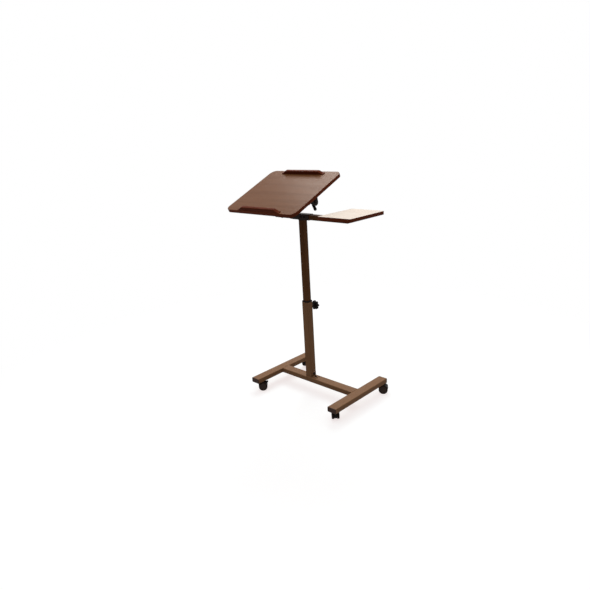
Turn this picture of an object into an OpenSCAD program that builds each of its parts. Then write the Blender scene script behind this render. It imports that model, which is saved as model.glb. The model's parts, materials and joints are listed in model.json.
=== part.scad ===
// Laptop desk cart: a tilting desk board and a fixed side table on a sliding mast,
// on a base of two feet, a cross tube and four twin-wheel casters.
// Millimetres. Front is -Y, the user's right is +X, the floor is z = 0.

/* [Base frame] */
// Post axis to the feet's front ends, end caps included
foot_front = 207; // [190:1:225]
// Post axis to the feet's back ends, end caps included
foot_back = 207; // [190:1:225]
// Width of the foot and cross tubes
foot_w = 50; // [44:1:56]
// Height of the foot and cross tubes
foot_h = 25; // [22:1:30]
// Wall of the foot and cross tubes
foot_wall = 1.5; // [1.2:0.1:2.2]
// Outer corner radius of the foot and cross tubes
foot_r = 3; // [2.4:0.2:4]
// Post axis to the left foot's centre line
foot_left = 212; // [190:1:240]
// Post axis to the right foot's centre line
foot_right = 313; // [290:1:340]
// Thickness of an end cap outside its tube
cap_lip = 3; // [2:0.5:4]
// Length of an end cap's plug inside its tube
cap_plug = 8; // [5:0.5:9]

/* [Casters] */
// Wheel diameter
wheel_d = 46; // [42:1:50]
// Width of one wheel
wheel_w = 11; // [9:0.5:13]
// Gap between the two wheels of a caster
wheel_gap = 14; // [13:0.5:16]
// Swivel axis to wheel axle
trail = 18; // [16:0.5:20]
// Swivel axis to the foot's end
caster_inset = 29; // [24:1:36]
// Top of the wheel to the underside of the foot
swivel_h = 4.5; // [4.2:0.1:6.5]
// Radius of a caster's stem
stem_r = 4; // [3.5:0.1:4.4]
// Radius of a wheel axle
axle_r = 3; // [2.5:0.1:3.5]
// Heading of the front left caster
turn_fl = 45; // [0:1:90]
// Heading of the front right caster
turn_fr = 135; // [90:1:180]
// Heading of the back left caster
turn_bl = 98; // [60:1:120]
// Heading of the back right caster
turn_br = 30; // [0:1:80]

/* [Post] */
// Side of the square lower post
low_w = 38; // [36:0.5:44]
// Height of the lower post
low_h = 410; // [380:5:440]
// Outer corner radius of the lower post
low_r = 3; // [2.2:0.2:4]
// Wall of both post tubes
post_wall = 1.5; // [1.2:0.1:2]
// Side of the square upper post
up_w = 30; // [26:0.5:30]
// Outer corner radius of the upper post
up_r = 2.5; // [2:0.1:3.5]
// Upper post from the lower post's top to the head sleeve, as set in the picture
lift = 418; // [390:1:440]
// Length of upper post that stays inside the lower post
tuck = 65; // [55:1:80]
// Height of the collar above the lower post
collar_top = 7; // [5:0.5:11]
// Collar's faces inside the lower post's faces
collar_set = 0.3; // [0.1:0.1:0.8]
// Depth of the collar's sleeve inside the lower post
collar_in = 18; // [12:1:20]
// Length of the glide that guides the upper post inside the lower one
glide_len = 12; // [8:1:16]
// Length of the glide's spigot inside the upper post
spigot_len = 20; // [12:1:26]

/* [Top bar] */
// Depth of the top bar, front to back
bar_d = 30; // [26:1:34]
// Height of the top bar
bar_h = 25; // [22:1:30]
// Wall of the top bar
bar_wall = 1.5; // [1.2:0.1:2]
// Outer corner radius of the top bar
bar_r = 2.5; // [2:0.1:3.5]
// Thickness of the bar's end caps outside the bar
bar_lip = 2; // [1.5:0.5:3]
// Post axis to the bar's left end
bar_left = 172; // [165:1:190]
// Post axis to the bar's right end
bar_right = 286; // [276:1:300]
// Length of the head sleeve
sleeve_len = 108; // [90:1:116]
// Wall of the head sleeve
sleeve_wall = 2; // [1.5:0.1:2.5]
// Outer corner radius of the head sleeve
sleeve_r = 3; // [2.4:0.2:4]
// Post axis to the middle of the sleeve's two screws
sleeve_screw_x = 14; // [8:1:24]
// Spacing of the sleeve's screws
sleeve_screw_pitch = 22; // [16:1:30]

/* [Side table] */
// Width of the side table
side_w = 186; // [170:1:200]
// Depth of the side table
side_d = 249; // [220:1:280]
// Thickness of the side table
side_t = 16; // [15:0.5:19]
// Corner radius of the side table
side_r = 8; // [5:1:20]
// Post axis to the side table's left edge
side_x = 204; // [198:1:212]
// Thickness of the plate between bar and side table
plate_t = 3; // [2:0.5:4]
// Width of the plate
plate_w = 110; // [90:1:120]
// Length of the plate, front to back
plate_len = 120; // [100:1:140]
// Corner radius of the plate
plate_r = 6; // [3:1:10]
// Side table's left edge to the plate
plate_in = 15; // [12:1:30]
// Plate's edges to its screws
plate_edge = 12; // [9:1:16]

/* [Desk] */
// Width of the desk board
desk_w = 470; // [440:1:490]
// Depth of the desk board
desk_d = 384; // [360:1:400]
// Thickness of the desk board
desk_t = 16; // [15:0.5:19]
// Corner radius of the desk board
desk_r = 32; // [20:1:45]
// Post axis to the desk's centre line, to the left
desk_off = 108; // [100:1:116]
// Tilt of the desk as stored
desk_angle = 24; // [5:1:34]
// Thickness of the edge bands round both boards
band_t = 1; // [0.8:0.1:2]

/* [Stops] */
// Length of each stop at the board
stop_len = 282; // [250:1:310]
// Length of each stop's straight top edge
stop_flat = 210; // [180:1:236]
// Height of each stop
stop_h = 17.5; // [14:0.5:24]
// Thickness of each stop
stop_t = 17; // [12:0.5:20]
// Desk's front edge to the front stop
front_gap = 2; // [1.5:0.5:8]
// Desk's back edge to the back stop's middle
back_inset = 24; // [18:1:50]
// Spacing of the two screws in a stop
stop_screws = 160; // [120:1:200]

/* [Tilt] */
// Tilt axis above the bar's top
axis_h = 63; // [56:0.5:75]
// Tilt axis below the desk's underside
axis_drop = 34; // [30:0.5:38]
// Width of every ear
ear_w = 28; // [24:1:30]
// Thickness of every ear and bracket
ear_t = 4; // [3:0.5:5]
// Distance between the middles of the yoke's two ears
yoke_span = 96; // [86:1:110]
// Yoke's ears to its bolts
yoke_bolt_in = 16; // [14:1:22]
// Radius of the tilt rod
rod_r = 5; // [4:0.1:5.5]
// Length of the rod beyond the left desk bracket, for its nut
rod_out = 10; // [9:0.5:14]
// Thickness of the rod's round head
rod_head_t = 5; // [3:0.5:7]
// Radius of the rod's round head
rod_head_r = 8; // [7:0.5:10]
// Post axis to the middle of the clamp bracket
clamp_x = 64; // [58:0.5:72]
// Distance between the middles of the clamp bracket's ears
clamp_span = 46; // [40:0.5:50]
// Clamp bracket's ears to its screws
clamp_screw_in = 10; // [9:0.5:12]
// Width of the clamp bracket's ears at the tilt axis
clamp_ear_w = 33; // [28:1:36]
// Reach of the clamp bracket's ears past the tilt axis, before they round off
clamp_tail = 4; // [0:0.5:6]
// Ends of the clamp bracket's flange to the feet of its ears
clamp_foot_in = 1; // [0.5:0.5:6]
// Thickness of every flange under the desk
flange_t = 3; // [2:0.5:4]
// Width of a desk bracket's flange
flange_w = 22; // [18:1:26]
// Length of a desk bracket's flange, front to back
flange_len = 54; // [48:1:60]
// Spacing of a flange's screws, front to back
flange_pitch = 38; // [36:1:40]
// Drop of the lever's ball below the tilt axis
lever_drop = 36; // [30:0.5:38]
// Sideways reach of the lever's ball from the middle of its hub
lever_reach = 20; // [10:0.5:24]
// Radius of the lever's ball
ball_r = 7.6; // [7.4:0.1:8.6]
// Radius of the lever's arm
lever_arm_r = 5.4; // [3.6:0.1:5.5]
// Radius of the lever's hub
lever_hub_r = 10; // [7.5:0.1:11.5]
// Thickness of the grip round the arm
grip_t = 1.8; // [1:0.1:1.9]
// Hub to the grip, along the arm
grip_gap = 6; // [4:0.5:8]

/* [Height knob] */
// Diameter of the star knob over its lobes
knob_d = 50; // [44:1:54]
// Thickness of the star
knob_t = 18; // [14:1:22]
// Rear face of the lower post to the star
knob_reach = 30; // [25:1:36]
// Knob axis below the lower post's top
knob_drop = 34; // [30:1:42]
// Radius of the knob's threaded stud
stud_r = 5; // [4:0.1:5.5]
// Thickness of the nut that is welded on the lower post
nut_t = 8; // [6:0.5:10]
// Radius of the knob's neck
neck_r = 9; // [8:0.5:11]
// Number of lobes
lobes = 7; // [5:1:9]

/* [Post bracket] */
// Reach of the angle bracket along the cross tube
brk_reach = 26; // [22:1:32]
// Height of the angle bracket on the post
brk_h = 28; // [24:1:36]
// Width of the angle bracket
brk_w = 30; // [24:1:34]
// Thickness of the angle bracket
brk_t = 3; // [2:0.5:4]

/* [Screws and bolts] */
// Radius of a wood screw
screw_r = 2; // [1.6:0.1:2.3]
// Radius of a wood screw's head
screw_head_r = 4; // [3.2:0.1:4.6]
// Height of a wood screw's head
screw_head_h = 2.4; // [1.8:0.1:3]
// Depth of a wood screw in a board
screw_bite = 11; // [8:0.5:12]
// Radius of a machine bolt
bolt_r = 3; // [2.5:0.1:3.4]
// Radius of a machine bolt's head
bolt_head_r = 6; // [5.2:0.1:7]
// Height of a machine bolt's head
bolt_head_h = 4; // [3:0.5:5]

/* [Clearances] */
// Gap round a piece that slides or lies beside a moving one
slide_gap = 0.3; // [0.2:0.05:0.5]
// Radial gap of a shaft that turns
run_gap = 0.05; // [0.03:0.01:0.1]
// Gap round a piece that is pressed in or screwed tight
seat_gap = 0.02; // [0.02:0.01:0.05]
// Radial gap of a clearance hole
hole_gap = 0.25; // [0.15:0.05:0.4]

/* [Hidden] */

round_fn = 64;

// Colours
BRONZE = [0.40, 0.29, 0.20];
DARK = [0.07, 0.06, 0.055];
WALNUT = [0.45, 0.31, 0.24];
EDGE = [0.24, 0.09, 0.04];
CREAM = [0.90, 0.84, 0.76];
ZINC = [0.62, 0.62, 0.60];

// Levels, from the floor up
foot_z = wheel_d + swivel_h;
cross_top = foot_z + foot_h;
low_top = cross_top + low_h;
sleeve_z = low_top + lift;
bar_z = sleeve_z + sleeve_wall + seat_gap;
bar_top = bar_z + bar_h;
side_z = bar_top + plate_t;
axis_z = bar_top + axis_h;
knob_z = low_top - knob_drop;

// Casters: corner name, stem place, heading
STEM_Y = [caster_inset - foot_front, foot_back - caster_inset];
CORNERS = ["fl", "fr", "bl", "br"];
STEMS = [for (y = STEM_Y, x = [-foot_left, foot_right]) [x, y]];
TURNS = [turn_fl, turn_fr, turn_bl, turn_br];
wheel_r = wheel_d / 2;
wheel_edge_r = 2;
wheel_out = wheel_gap / 2 + wheel_w;
hood_half = wheel_gap / 2 - slide_gap - run_gap;

// Reach of one caster's wheels from the post axis, along Y, on the given side
function wheel_y(i, side) = STEMS[i][1] + trail * sin(TURNS[i])
    + side * ((wheel_r - wheel_edge_r) * abs(sin(TURNS[i]))
    + (wheel_out - wheel_edge_r) * abs(cos(TURNS[i])) + wheel_edge_r);

// Y of a point of the desk frame, from the post axis
function desk_y(y, z) = y * cos(desk_angle) - z * sin(desk_angle);

// The part's origin is on the floor under the middle of its own outline
left_edge = min(-desk_off - desk_w / 2, -foot_left - foot_w / 2);
right_edge = max(side_x + side_w, foot_right + foot_w / 2);
front_edge = min(-foot_front, min([for (i = [0:3]) wheel_y(i, -1)]),
    desk_y(-desk_d / 2, axis_drop + desk_t),
    desk_y(-desk_d / 2 + front_gap, axis_drop + desk_t + stop_h));
back_edge = max(foot_back, max([for (i = [0:3]) wheel_y(i, 1)]),
    desk_y(desk_d / 2, axis_drop));
post_x = -(left_edge + right_edge) / 2;
post_y = -(front_edge + back_edge) / 2;

// Places the post's axis in the part's frame
module place() translate([post_x, post_y, 0]) children();

// Desk frame: origin on the tilt axis, z square to the board
module on_desk() place() translate([-desk_off, 0, axis_z]) rotate([desk_angle, 0, 0]) children();

// Caster frame: origin on the floor under the stem, x towards the axle
module on_caster(i) place() translate([STEMS[i][0], STEMS[i][1], 0]) rotate([0, 0, TURNS[i]])
    children();

// Rectangle with rounded corners, centred
module rrect(w, h, r) {
    square([w - 2 * r, h], center = true);
    square([w, h - 2 * r], center = true);
    for (sx = [-1, 1], sy = [-1, 1])
        translate([sx * (w / 2 - r), sy * (h / 2 - r)]) circle(r, $fn = round_fn);
}

// Corner radius inside a tube, from its outer radius and its wall
function inner_r(r, wall) = r - wall / 2;

// Rectangular tube along Z, centred
module tube(len, w, h, wall, r) {
    linear_extrude(len, center = true) difference() {
        rrect(w, h, r);
        rrect(w - 2 * wall, h - 2 * wall, inner_r(r, wall));
    }
}

// Round bar along X, Y or Z from its start
module rod_x(len, r) rotate([0, 90, 0]) cylinder(len, r, r, $fn = round_fn);
module rod_y(len, r) rotate([-90, 0, 0]) cylinder(len, r, r, $fn = round_fn);
module rod_z(len, r) cylinder(len, r, r, $fn = round_fn);

// Hexagon nut along Z for a shank of the given radius, and its width over the radius
nut_ratio = 3.4;
module nut(len, r, gap) {
    corner_r = nut_ratio * r / sqrt(3);
    difference() {
        cylinder(len, corner_r, corner_r, $fn = 6);
        translate([0, 0, -1]) rod_z(len + 2, r + gap);
    }
}

// Cross recess in a screw head whose top is at z = 0
module cross_recess(size, depth) {
    for (a = [0, 90]) rotate([0, 0, a])
        translate([-size / 2, -size / 8, -depth]) cube([size, size / 4, depth + 1]);
}

// Screw that points along +Z: head below z = 0, shank above
dome_ratio = 1.18;
recess_ratio = 1.2;
module screw(len, r, head_r, head_h) {
    rod_z(len, r);
    difference() {
        intersection() {
            translate([0, 0, -head_h]) rod_z(head_h, head_r);
            translate([0, 0, head_r - head_h]) sphere(head_r * dome_ratio, $fn = round_fn);
        }
        translate([0, 0, -head_h]) mirror([0, 0, 1])
            cross_recess(head_r * recess_ratio, head_h / 2);
    }
}

module wood_screw(grip) screw(grip + screw_bite, screw_r, screw_head_r, screw_head_h);

// Blind hole in a board for a wood screw, from z = 0 up
tip_room = 0.5;
module pilot() translate([0, 0, -1]) rod_z(screw_bite + tip_room + 1, screw_r + seat_gap);

// Base frame

module foot(x) {
    color(BRONZE) place() difference() {
        translate([x, (foot_back - foot_front) / 2, foot_z + foot_h / 2]) rotate([90, 0, 0])
            tube(foot_back + foot_front - 2 * cap_lip, foot_w, foot_h, foot_wall, foot_r);
        for (y = STEM_Y) translate([x, y, foot_z - 1]) rod_z(foot_wall + 2, stem_r + hole_gap);
    }
}

module crossbar() {
    span = foot_left + foot_right - foot_w;
    color(BRONZE) place() difference() {
        translate([(foot_right - foot_left) / 2, 0, foot_z + foot_h / 2]) rotate([90, 0, 90])
            tube(span, foot_w, foot_h, foot_wall, foot_r);
        translate([brk_bolt_x, 0, cross_top - foot_wall - 1])
            rod_z(foot_wall + 2, bolt_r + hole_gap);
    }
}

// End cap of a tube that runs along +Z, with its lip above z = 0
module end_cap(w, h, wall, r, plug, lip) {
    inner_w = w - 2 * wall - 2 * seat_gap;
    inner_h = h - 2 * wall - 2 * seat_gap;
    linear_extrude(lip) rrect(w, h, r);
    translate([0, 0, -plug]) linear_extrude(plug) difference() {
        rrect(inner_w, inner_h, inner_r(r, wall));
        rrect(inner_w - 2 * wall, inner_h - 2 * wall, inner_r(r, wall) / 2);
    }
}

module foot_cap(x, side) {
    y = side < 0 ? cap_lip - foot_front : foot_back - cap_lip;
    color(DARK) place() translate([x, y, foot_z + foot_h / 2]) rotate([-side * 90, 0, 0])
        end_cap(foot_w, foot_h, foot_wall, foot_r, cap_plug, cap_lip);
}

// Casters

// Stem: its flange under the foot, its top and its low end inside the hood
stem_flange_t = 1.8;
stem_flange_w = 2;
stem_top = foot_h / 2;
pin_low = wheel_r + axle_r + 3;
caster_nut_t = 6.5;

module caster_stems() {
    color(ZINC) place() for (p = STEMS) translate([p[0], p[1], 0]) {
        translate([0, 0, pin_low]) rod_z(foot_z - pin_low + stem_top, stem_r);
        translate([0, 0, foot_z - stem_flange_t]) rod_z(stem_flange_t, boss_r + stem_flange_w);
    }
}

module caster_nuts() {
    color(ZINC) place() for (p = STEMS)
        translate([p[0], p[1], foot_z + foot_wall]) nut(caster_nut_t, stem_r, seat_gap);
}

// Hood: swivel boss round the stem, web between the wheels, fender ring over them
boss_r = stem_r + 2.3;
boss_top = foot_z - stem_flange_t - slide_gap;
boss_floor = 6;
pin_room = 2;
web_in = 2.5;
fender_gap = 0.8;
fender_t = 1.7;
fender_out = wheel_r + fender_gap + fender_t;
fender_half = wheel_out - 1;
// Lowest height of the fender, where it reaches no further than the wheel
fender_z = wheel_r + sqrt(fender_out * fender_out - wheel_r * wheel_r) + wheel_edge_r / 3;

// Brake tab: pivot between the wheels, pad behind the fender
brake_x = trail + wheel_r * 0.6;
brake_z = wheel_r * 1.6;
brake_half = 3;
brake_pin_r = 1.6;
arm_half = 2.4;
knuckle_r = 3.4;
pad_x = trail + 19;
pad_root = 4;
pad_len = 9;
pad_z = wheel_d - 3;
pad_t = 3.2;
pad_half = 10;
pad_r = 2;

module hood_body() {
    // Web between the wheels
    translate([trail, -hood_half, wheel_r]) rod_y(2 * hood_half, wheel_r - web_in);
    // Neck from the web up to the swivel
    translate([0, -hood_half, wheel_r]) cube([trail, 2 * hood_half, wheel_r - web_in / 2]);
    // Swivel boss
    translate([0, 0, pin_low - boss_floor]) rod_z(boss_top - pin_low + boss_floor, boss_r);
    // Fender
    intersection() {
        translate([trail, -fender_half, wheel_r]) difference() {
            rod_y(2 * fender_half, fender_out);
            translate([0, -1, 0]) rod_y(2 * fender_half + 2, wheel_r + fender_gap);
        }
        translate([trail - wheel_d, -wheel_d, fender_z]) cube([2 * wheel_d, 2 * wheel_d, wheel_d]);
    }
}

module caster_hood(i) {
    braked = i < 2;
    color(DARK) on_caster(i) difference() {
        hood_body();
        translate([0, 0, pin_low - pin_room]) rod_z(foot_z, stem_r + run_gap);
        translate([trail, -wheel_d, wheel_r]) rod_y(2 * wheel_d, axle_r + seat_gap);
        if (braked) {
            slot_half = brake_half + slide_gap;
            translate([brake_x - knuckle_r - 1, -slot_half, brake_z - knuckle_r - 1])
                cube([wheel_d, 2 * slot_half, wheel_d]);
            translate([brake_x, -wheel_d, brake_z]) rod_y(2 * wheel_d, brake_pin_r + run_gap);
        }
    }
}

// Wheel's outer face over the axle's end, and the room between them
disc_t = 2;
axle_room = 0.6;

module wheel_axle(i) {
    half = wheel_out - disc_t - axle_room;
    color(ZINC) on_caster(i) translate([trail, -half, wheel_r]) rod_y(2 * half, axle_r);
}

// Ring-shaped recess in a wheel's outer face, as shares of the wheel's radius
recess_from = 0.36;
recess_to = 0.76;
recess_depth = 1.2;

// Half section of a wheel, inner face at y = 0
module wheel_section() {
    difference() {
        union() {
            square([wheel_r - wheel_edge_r, wheel_w]);
            translate([0, wheel_edge_r]) square([wheel_r, wheel_w - 2 * wheel_edge_r]);
            for (y = [wheel_edge_r, wheel_w - wheel_edge_r])
                translate([wheel_r - wheel_edge_r, y]) circle(wheel_edge_r, $fn = round_fn);
        }
        translate([-1, -1]) square([axle_r + run_gap + 1, wheel_w - disc_t + 1]);
        translate([wheel_r * recess_from, wheel_w - recess_depth])
            square([wheel_r * (recess_to - recess_from), recess_depth + 1]);
    }
}

module wheel(i, side) {
    color(DARK) on_caster(i) translate([trail, side * wheel_gap / 2, wheel_r])
        rotate([-side * 90, 0, 0]) rotate_extrude($fn = 96) wheel_section();
}

module brake_tab(i) {
    color(DARK) on_caster(i) {
        difference() {
            union() {
                translate([brake_x, -brake_half, brake_z]) rod_y(2 * brake_half, knuckle_r);
                translate([0, -brake_half, 0]) rotate([90, 0, 0]) mirror([0, 0, 1])
                    linear_extrude(2 * brake_half) polygon([
                        [brake_x - arm_half, brake_z + arm_half],
                        [brake_x + arm_half, brake_z - arm_half], [pad_x + pad_root, pad_z],
                        [pad_x + pad_root, pad_z + pad_t], [pad_x, pad_z + pad_t]]);
            }
            translate([brake_x, -wheel_d, brake_z]) rod_y(2 * wheel_d, brake_pin_r);
        }
        translate([brake_x, -hood_half, brake_z]) rod_y(2 * hood_half, brake_pin_r);
        translate([pad_x + pad_len / 2, 0, pad_z]) linear_extrude(pad_t)
            rrect(pad_len, 2 * pad_half, pad_r);
    }
}

// Post

module lower_post() {
    color(BRONZE) place() difference() {
        translate([0, 0, cross_top + low_h / 2]) tube(low_h, low_w, low_w, post_wall, low_r);
        translate([0, low_w / 2 - post_wall - 1, knob_z]) rod_y(post_wall + 2, stud_r + hole_gap);
        translate([low_w / 2 - post_wall - 1, 0, brk_bolt_z])
            rod_x(post_wall + 2, bolt_r + hole_gap);
    }
}

low_in = low_w - 2 * post_wall;
low_in_r = inner_r(low_r, post_wall);

// Head on the post's top edge, plug inside it, bore round the upper post
module post_collar() {
    head = low_w - 2 * collar_set;
    plug = low_in - 2 * seat_gap;
    bore = up_w + 2 * slide_gap;
    color(DARK) place() difference() {
        union() {
            translate([0, 0, low_top]) linear_extrude(collar_top) rrect(head, head, low_r);
            translate([0, 0, low_top - collar_in]) linear_extrude(collar_in)
                rrect(plug, plug, low_in_r);
        }
        translate([0, 0, low_top - collar_in - 1])
            linear_extrude(collar_in + collar_top + 2) rrect(bore, bore, up_r);
    }
}

module knob_nut() {
    color(BRONZE) place() translate([0, low_w / 2, knob_z]) rotate([-90, 0, 0])
        nut(nut_t, stud_r, run_gap);
}

// Angle bracket at the foot of the post, on its right face
brk_bolt_x = low_w / 2 + brk_reach * 0.6;
brk_bolt_z = cross_top + brk_h * 0.62;
brk_bolt_grip = 14;
brk_side_grip = brk_t + post_wall + 1;
brk_side_head_r = bolt_head_r + 1;

module post_bracket() {
    x = low_w / 2;
    color(BRONZE) place() difference() {
        union() {
            translate([x, -brk_w / 2, cross_top]) cube([brk_reach, brk_w, brk_t]);
            translate([x, -brk_w / 2, cross_top]) cube([brk_t, brk_w, brk_h]);
        }
        translate([brk_bolt_x, 0, cross_top - 1]) rod_z(brk_t + 2, bolt_r + hole_gap);
        translate([x - 1, 0, brk_bolt_z]) rod_x(brk_t + 2, bolt_r + hole_gap);
    }
}

module post_bolts() {
    color(DARK) place() {
        translate([brk_bolt_x, 0, cross_top + brk_t]) rotate([180, 0, 0])
            screw(brk_bolt_grip, bolt_r, bolt_head_r, bolt_head_h);
        translate([low_w / 2 + brk_t, 0, brk_bolt_z]) rotate([0, -90, 0])
            screw(brk_side_grip, bolt_r, brk_side_head_r, bolt_head_h);
    }
}

// Mast

up_low = low_top - tuck;

module upper_post() {
    color(BRONZE) place() translate([0, 0, (up_low + sleeve_z) / 2])
        tube(sleeve_z - up_low, up_w, up_w, post_wall, up_r);
}

module post_glide() {
    glide_w = low_in - 2 * slide_gap;
    spigot_w = up_w - 2 * post_wall - 2 * seat_gap;
    color(DARK) place() translate([0, 0, up_low]) {
        translate([0, 0, -glide_len]) linear_extrude(glide_len) rrect(glide_w, glide_w, low_in_r);
        linear_extrude(spigot_len) rrect(spigot_w, spigot_w, inner_r(up_r, post_wall));
    }
}

// Head sleeve round the bar; its front screws go through the bar's front wall
sleeve_d = bar_d + 2 * seat_gap + 2 * sleeve_wall;
sleeve_h = bar_h + 2 * seat_gap + 2 * sleeve_wall;
bar_mid_z = bar_z + bar_h / 2;
SLEEVE_SCREWS = [for (s = [-1, 1]) sleeve_screw_x + s * sleeve_screw_pitch / 2];
sleeve_screw_in = 4;
sleeve_head_r = bolt_head_r - 0.5;
sleeve_head_h = bolt_head_h - 1.5;

// Holes for the sleeve's screws
module sleeve_holes() {
    for (x = SLEEVE_SCREWS) translate([x, -bar_d, bar_mid_z]) rod_y(bar_d, bolt_r + hole_gap);
}

module head_sleeve() {
    color(DARK) place() difference() {
        translate([0, 0, bar_mid_z]) rotate([90, 0, 90])
            tube(sleeve_len, sleeve_d, sleeve_h, sleeve_wall, sleeve_r);
        sleeve_holes();
    }
}

module sleeve_screws() {
    color(DARK) place() for (x = SLEEVE_SCREWS)
        translate([x, -sleeve_d / 2, bar_mid_z]) rotate([-90, 0, 0])
            screw(sleeve_wall + bar_wall + sleeve_screw_in, bolt_r, sleeve_head_r, sleeve_head_h);
}

YOKE_BOLTS = [for (s = [-1, 1]) s * (yoke_span / 2 - yoke_bolt_in) - desk_off];

module top_bar() {
    color(BRONZE) place() difference() {
        translate([(bar_right - bar_left) / 2, 0, bar_mid_z]) rotate([90, 0, 90])
            tube(bar_right + bar_left, bar_d, bar_h, bar_wall, bar_r);
        for (x = YOKE_BOLTS) translate([x, 0, bar_z - 1]) rod_z(bar_h + 2, bolt_r + hole_gap);
        sleeve_holes();
    }
}

module bar_cap(side) {
    x = side < 0 ? -bar_left : bar_right;
    color(DARK) place() translate([x, 0, bar_mid_z]) mirror([side < 0 ? 1 : 0, 0, 0])
        rotate([90, 0, 90]) end_cap(bar_d, bar_h, bar_wall, bar_r, cap_plug, bar_lip);
}

// Side table

side_mid = side_x + side_w / 2;
plate_mid = side_x + plate_in + plate_w / 2;

// Runs through the places of the side table's screws
module at_side_screws() {
    for (sx = [-1, 1], sy = [-1, 1])
        translate([plate_mid + sx * (plate_w / 2 - plate_edge), sy * (plate_len / 2 - plate_edge),
            side_z]) children();
}

module side_board() {
    color(CREAM) place() difference() {
        translate([side_mid, 0, side_z]) linear_extrude(side_t)
            rrect(side_w - 2 * band_t, side_d - 2 * band_t, side_r - band_t);
        at_side_screws() pilot();
    }
}

module edge_band(w, d, t, r) {
    linear_extrude(t) difference() {
        rrect(w, d, r);
        rrect(w - 2 * band_t, d - 2 * band_t, r - band_t);
    }
}

module side_edge_band() {
    color(EDGE) place() translate([side_mid, 0, side_z]) edge_band(side_w, side_d, side_t, side_r);
}

module side_plate() {
    color(BRONZE) place() difference() {
        translate([plate_mid, 0, bar_top]) linear_extrude(plate_t)
            rrect(plate_w, plate_len, plate_r);
        at_side_screws() translate([0, 0, -plate_t - 1]) rod_z(plate_t + 2, screw_r + hole_gap);
    }
}

module side_screws() {
    color(ZINC) place() at_side_screws() translate([0, 0, -plate_t]) wood_screw(plate_t);
}

// Tilt yoke on the bar

// Ear with a round end past the axis by its tail, and a foot that may be wider
module ear_shape(height, w, foot, tail) {
    translate([0, tail]) circle(w / 2, $fn = round_fn);
    polygon([[-foot / 2, -height], [foot / 2, -height], [w / 2, tail], [-w / 2, tail]]);
}

// Ear across X, its bore on the tilt axis, its foot below by the given height
module ear(x, height, w = ear_w, foot = ear_w, tail = 0) {
    translate([x - ear_t / 2, 0, 0]) rotate([90, 0, 90]) linear_extrude(ear_t) difference() {
        ear_shape(height, w, foot, tail);
        circle(rod_r + run_gap, $fn = round_fn);
    }
}

module tilt_yoke() {
    color(BRONZE) place() difference() {
        union() {
            for (s = [-1, 1]) translate([-desk_off, 0, axis_z]) ear(s * yoke_span / 2, axis_h);
            translate([-desk_off - yoke_span / 2 - ear_t / 2, -ear_w / 2, bar_top])
                cube([yoke_span + ear_t, ear_w, ear_t]);
        }
        for (x = YOKE_BOLTS) translate([x, 0, bar_top - 1]) rod_z(ear_t + 2, bolt_r + hole_gap);
    }
}

yoke_nut_t = 5;
yoke_bolt_len = bar_h + ear_t + yoke_nut_t + 2;

module yoke_bolts() {
    color(DARK) place() for (x = YOKE_BOLTS) {
        translate([x, 0, bar_z]) screw(yoke_bolt_len, bolt_r, bolt_head_r, bolt_head_h);
        translate([x, 0, bar_top + ear_t]) nut(yoke_nut_t, bolt_r, seat_gap);
    }
}

// Desk

desk_top = axis_drop + desk_t;
front_stop_y = -desk_d / 2 + front_gap + stop_t / 2;
back_stop_y = desk_d / 2 - back_inset;
bracket_x = yoke_span / 2 + ear_t + slide_gap;
clamp_mid = desk_off + clamp_x;
clamp_screw_x = clamp_span / 2 - clamp_screw_in;
// Room over the head of a stop's screw, sunk in the board's underside
sink_room = 0.4;

// Runs through the places of the stops' screws, at the board's underside
module at_stop_screws() {
    for (y = [front_stop_y, back_stop_y], s = [-1, 1])
        translate([s * stop_screws / 2, y, axis_drop]) children();
}

// Runs through the places of the bracket screws, at the board's underside
module at_bracket_screws() {
    for (s = [-1, 1], sy = [-1, 1])
        translate([s * (bracket_x + flange_w / 2 + ear_t / 2), sy * flange_pitch / 2, axis_drop])
            children();
    for (s = [-1, 1], sy = [-1, 1])
        translate([clamp_mid + s * clamp_screw_x, sy * flange_pitch / 2, axis_drop]) children();
}

module desk_board() {
    color(WALNUT) on_desk() difference() {
        translate([0, 0, axis_drop]) linear_extrude(desk_t)
            rrect(desk_w - 2 * band_t, desk_d - 2 * band_t, desk_r - band_t);
        at_bracket_screws() pilot();
        at_stop_screws() {
            translate([0, 0, -1]) rod_z(desk_t + 2, screw_r + hole_gap);
            translate([0, 0, -1]) rod_z(screw_head_h + sink_room + 1, screw_head_r + hole_gap);
        }
    }
}

module desk_edge_band() {
    color(EDGE) on_desk() translate([0, 0, axis_drop]) edge_band(desk_w, desk_d, desk_t, desk_r);
}

// Outline of a stop seen from the front: flat top, eased ends
function ease(t) = (1 - cos(180 * t)) / 2;
stop_steps = 12;
stop_lip = 3;
STOP_END = [for (k = [0:stop_steps]) let (t = k / stop_steps)
    [stop_len / 2 - t * (stop_len - stop_flat) / 2, stop_lip + (stop_h - stop_lip) * ease(t)]];
STOP_OUTLINE = concat([[stop_len / 2, 0]], STOP_END,
    [for (k = [0:stop_steps]) [-STOP_END[stop_steps - k][0], STOP_END[stop_steps - k][1]]],
    [[-stop_len / 2, 0]]);

module stop(y) {
    color(EDGE) on_desk() difference() {
        translate([0, y + stop_t / 2, desk_top]) rotate([90, 0, 0])
            linear_extrude(stop_t) polygon(STOP_OUTLINE);
        at_stop_screws() rod_z(desk_t + screw_bite + tip_room, screw_r + seat_gap);
    }
}

module stop_screw_set() {
    color(ZINC) on_desk() at_stop_screws() translate([0, 0, screw_head_h])
        wood_screw(desk_t - screw_head_h);
}

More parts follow.
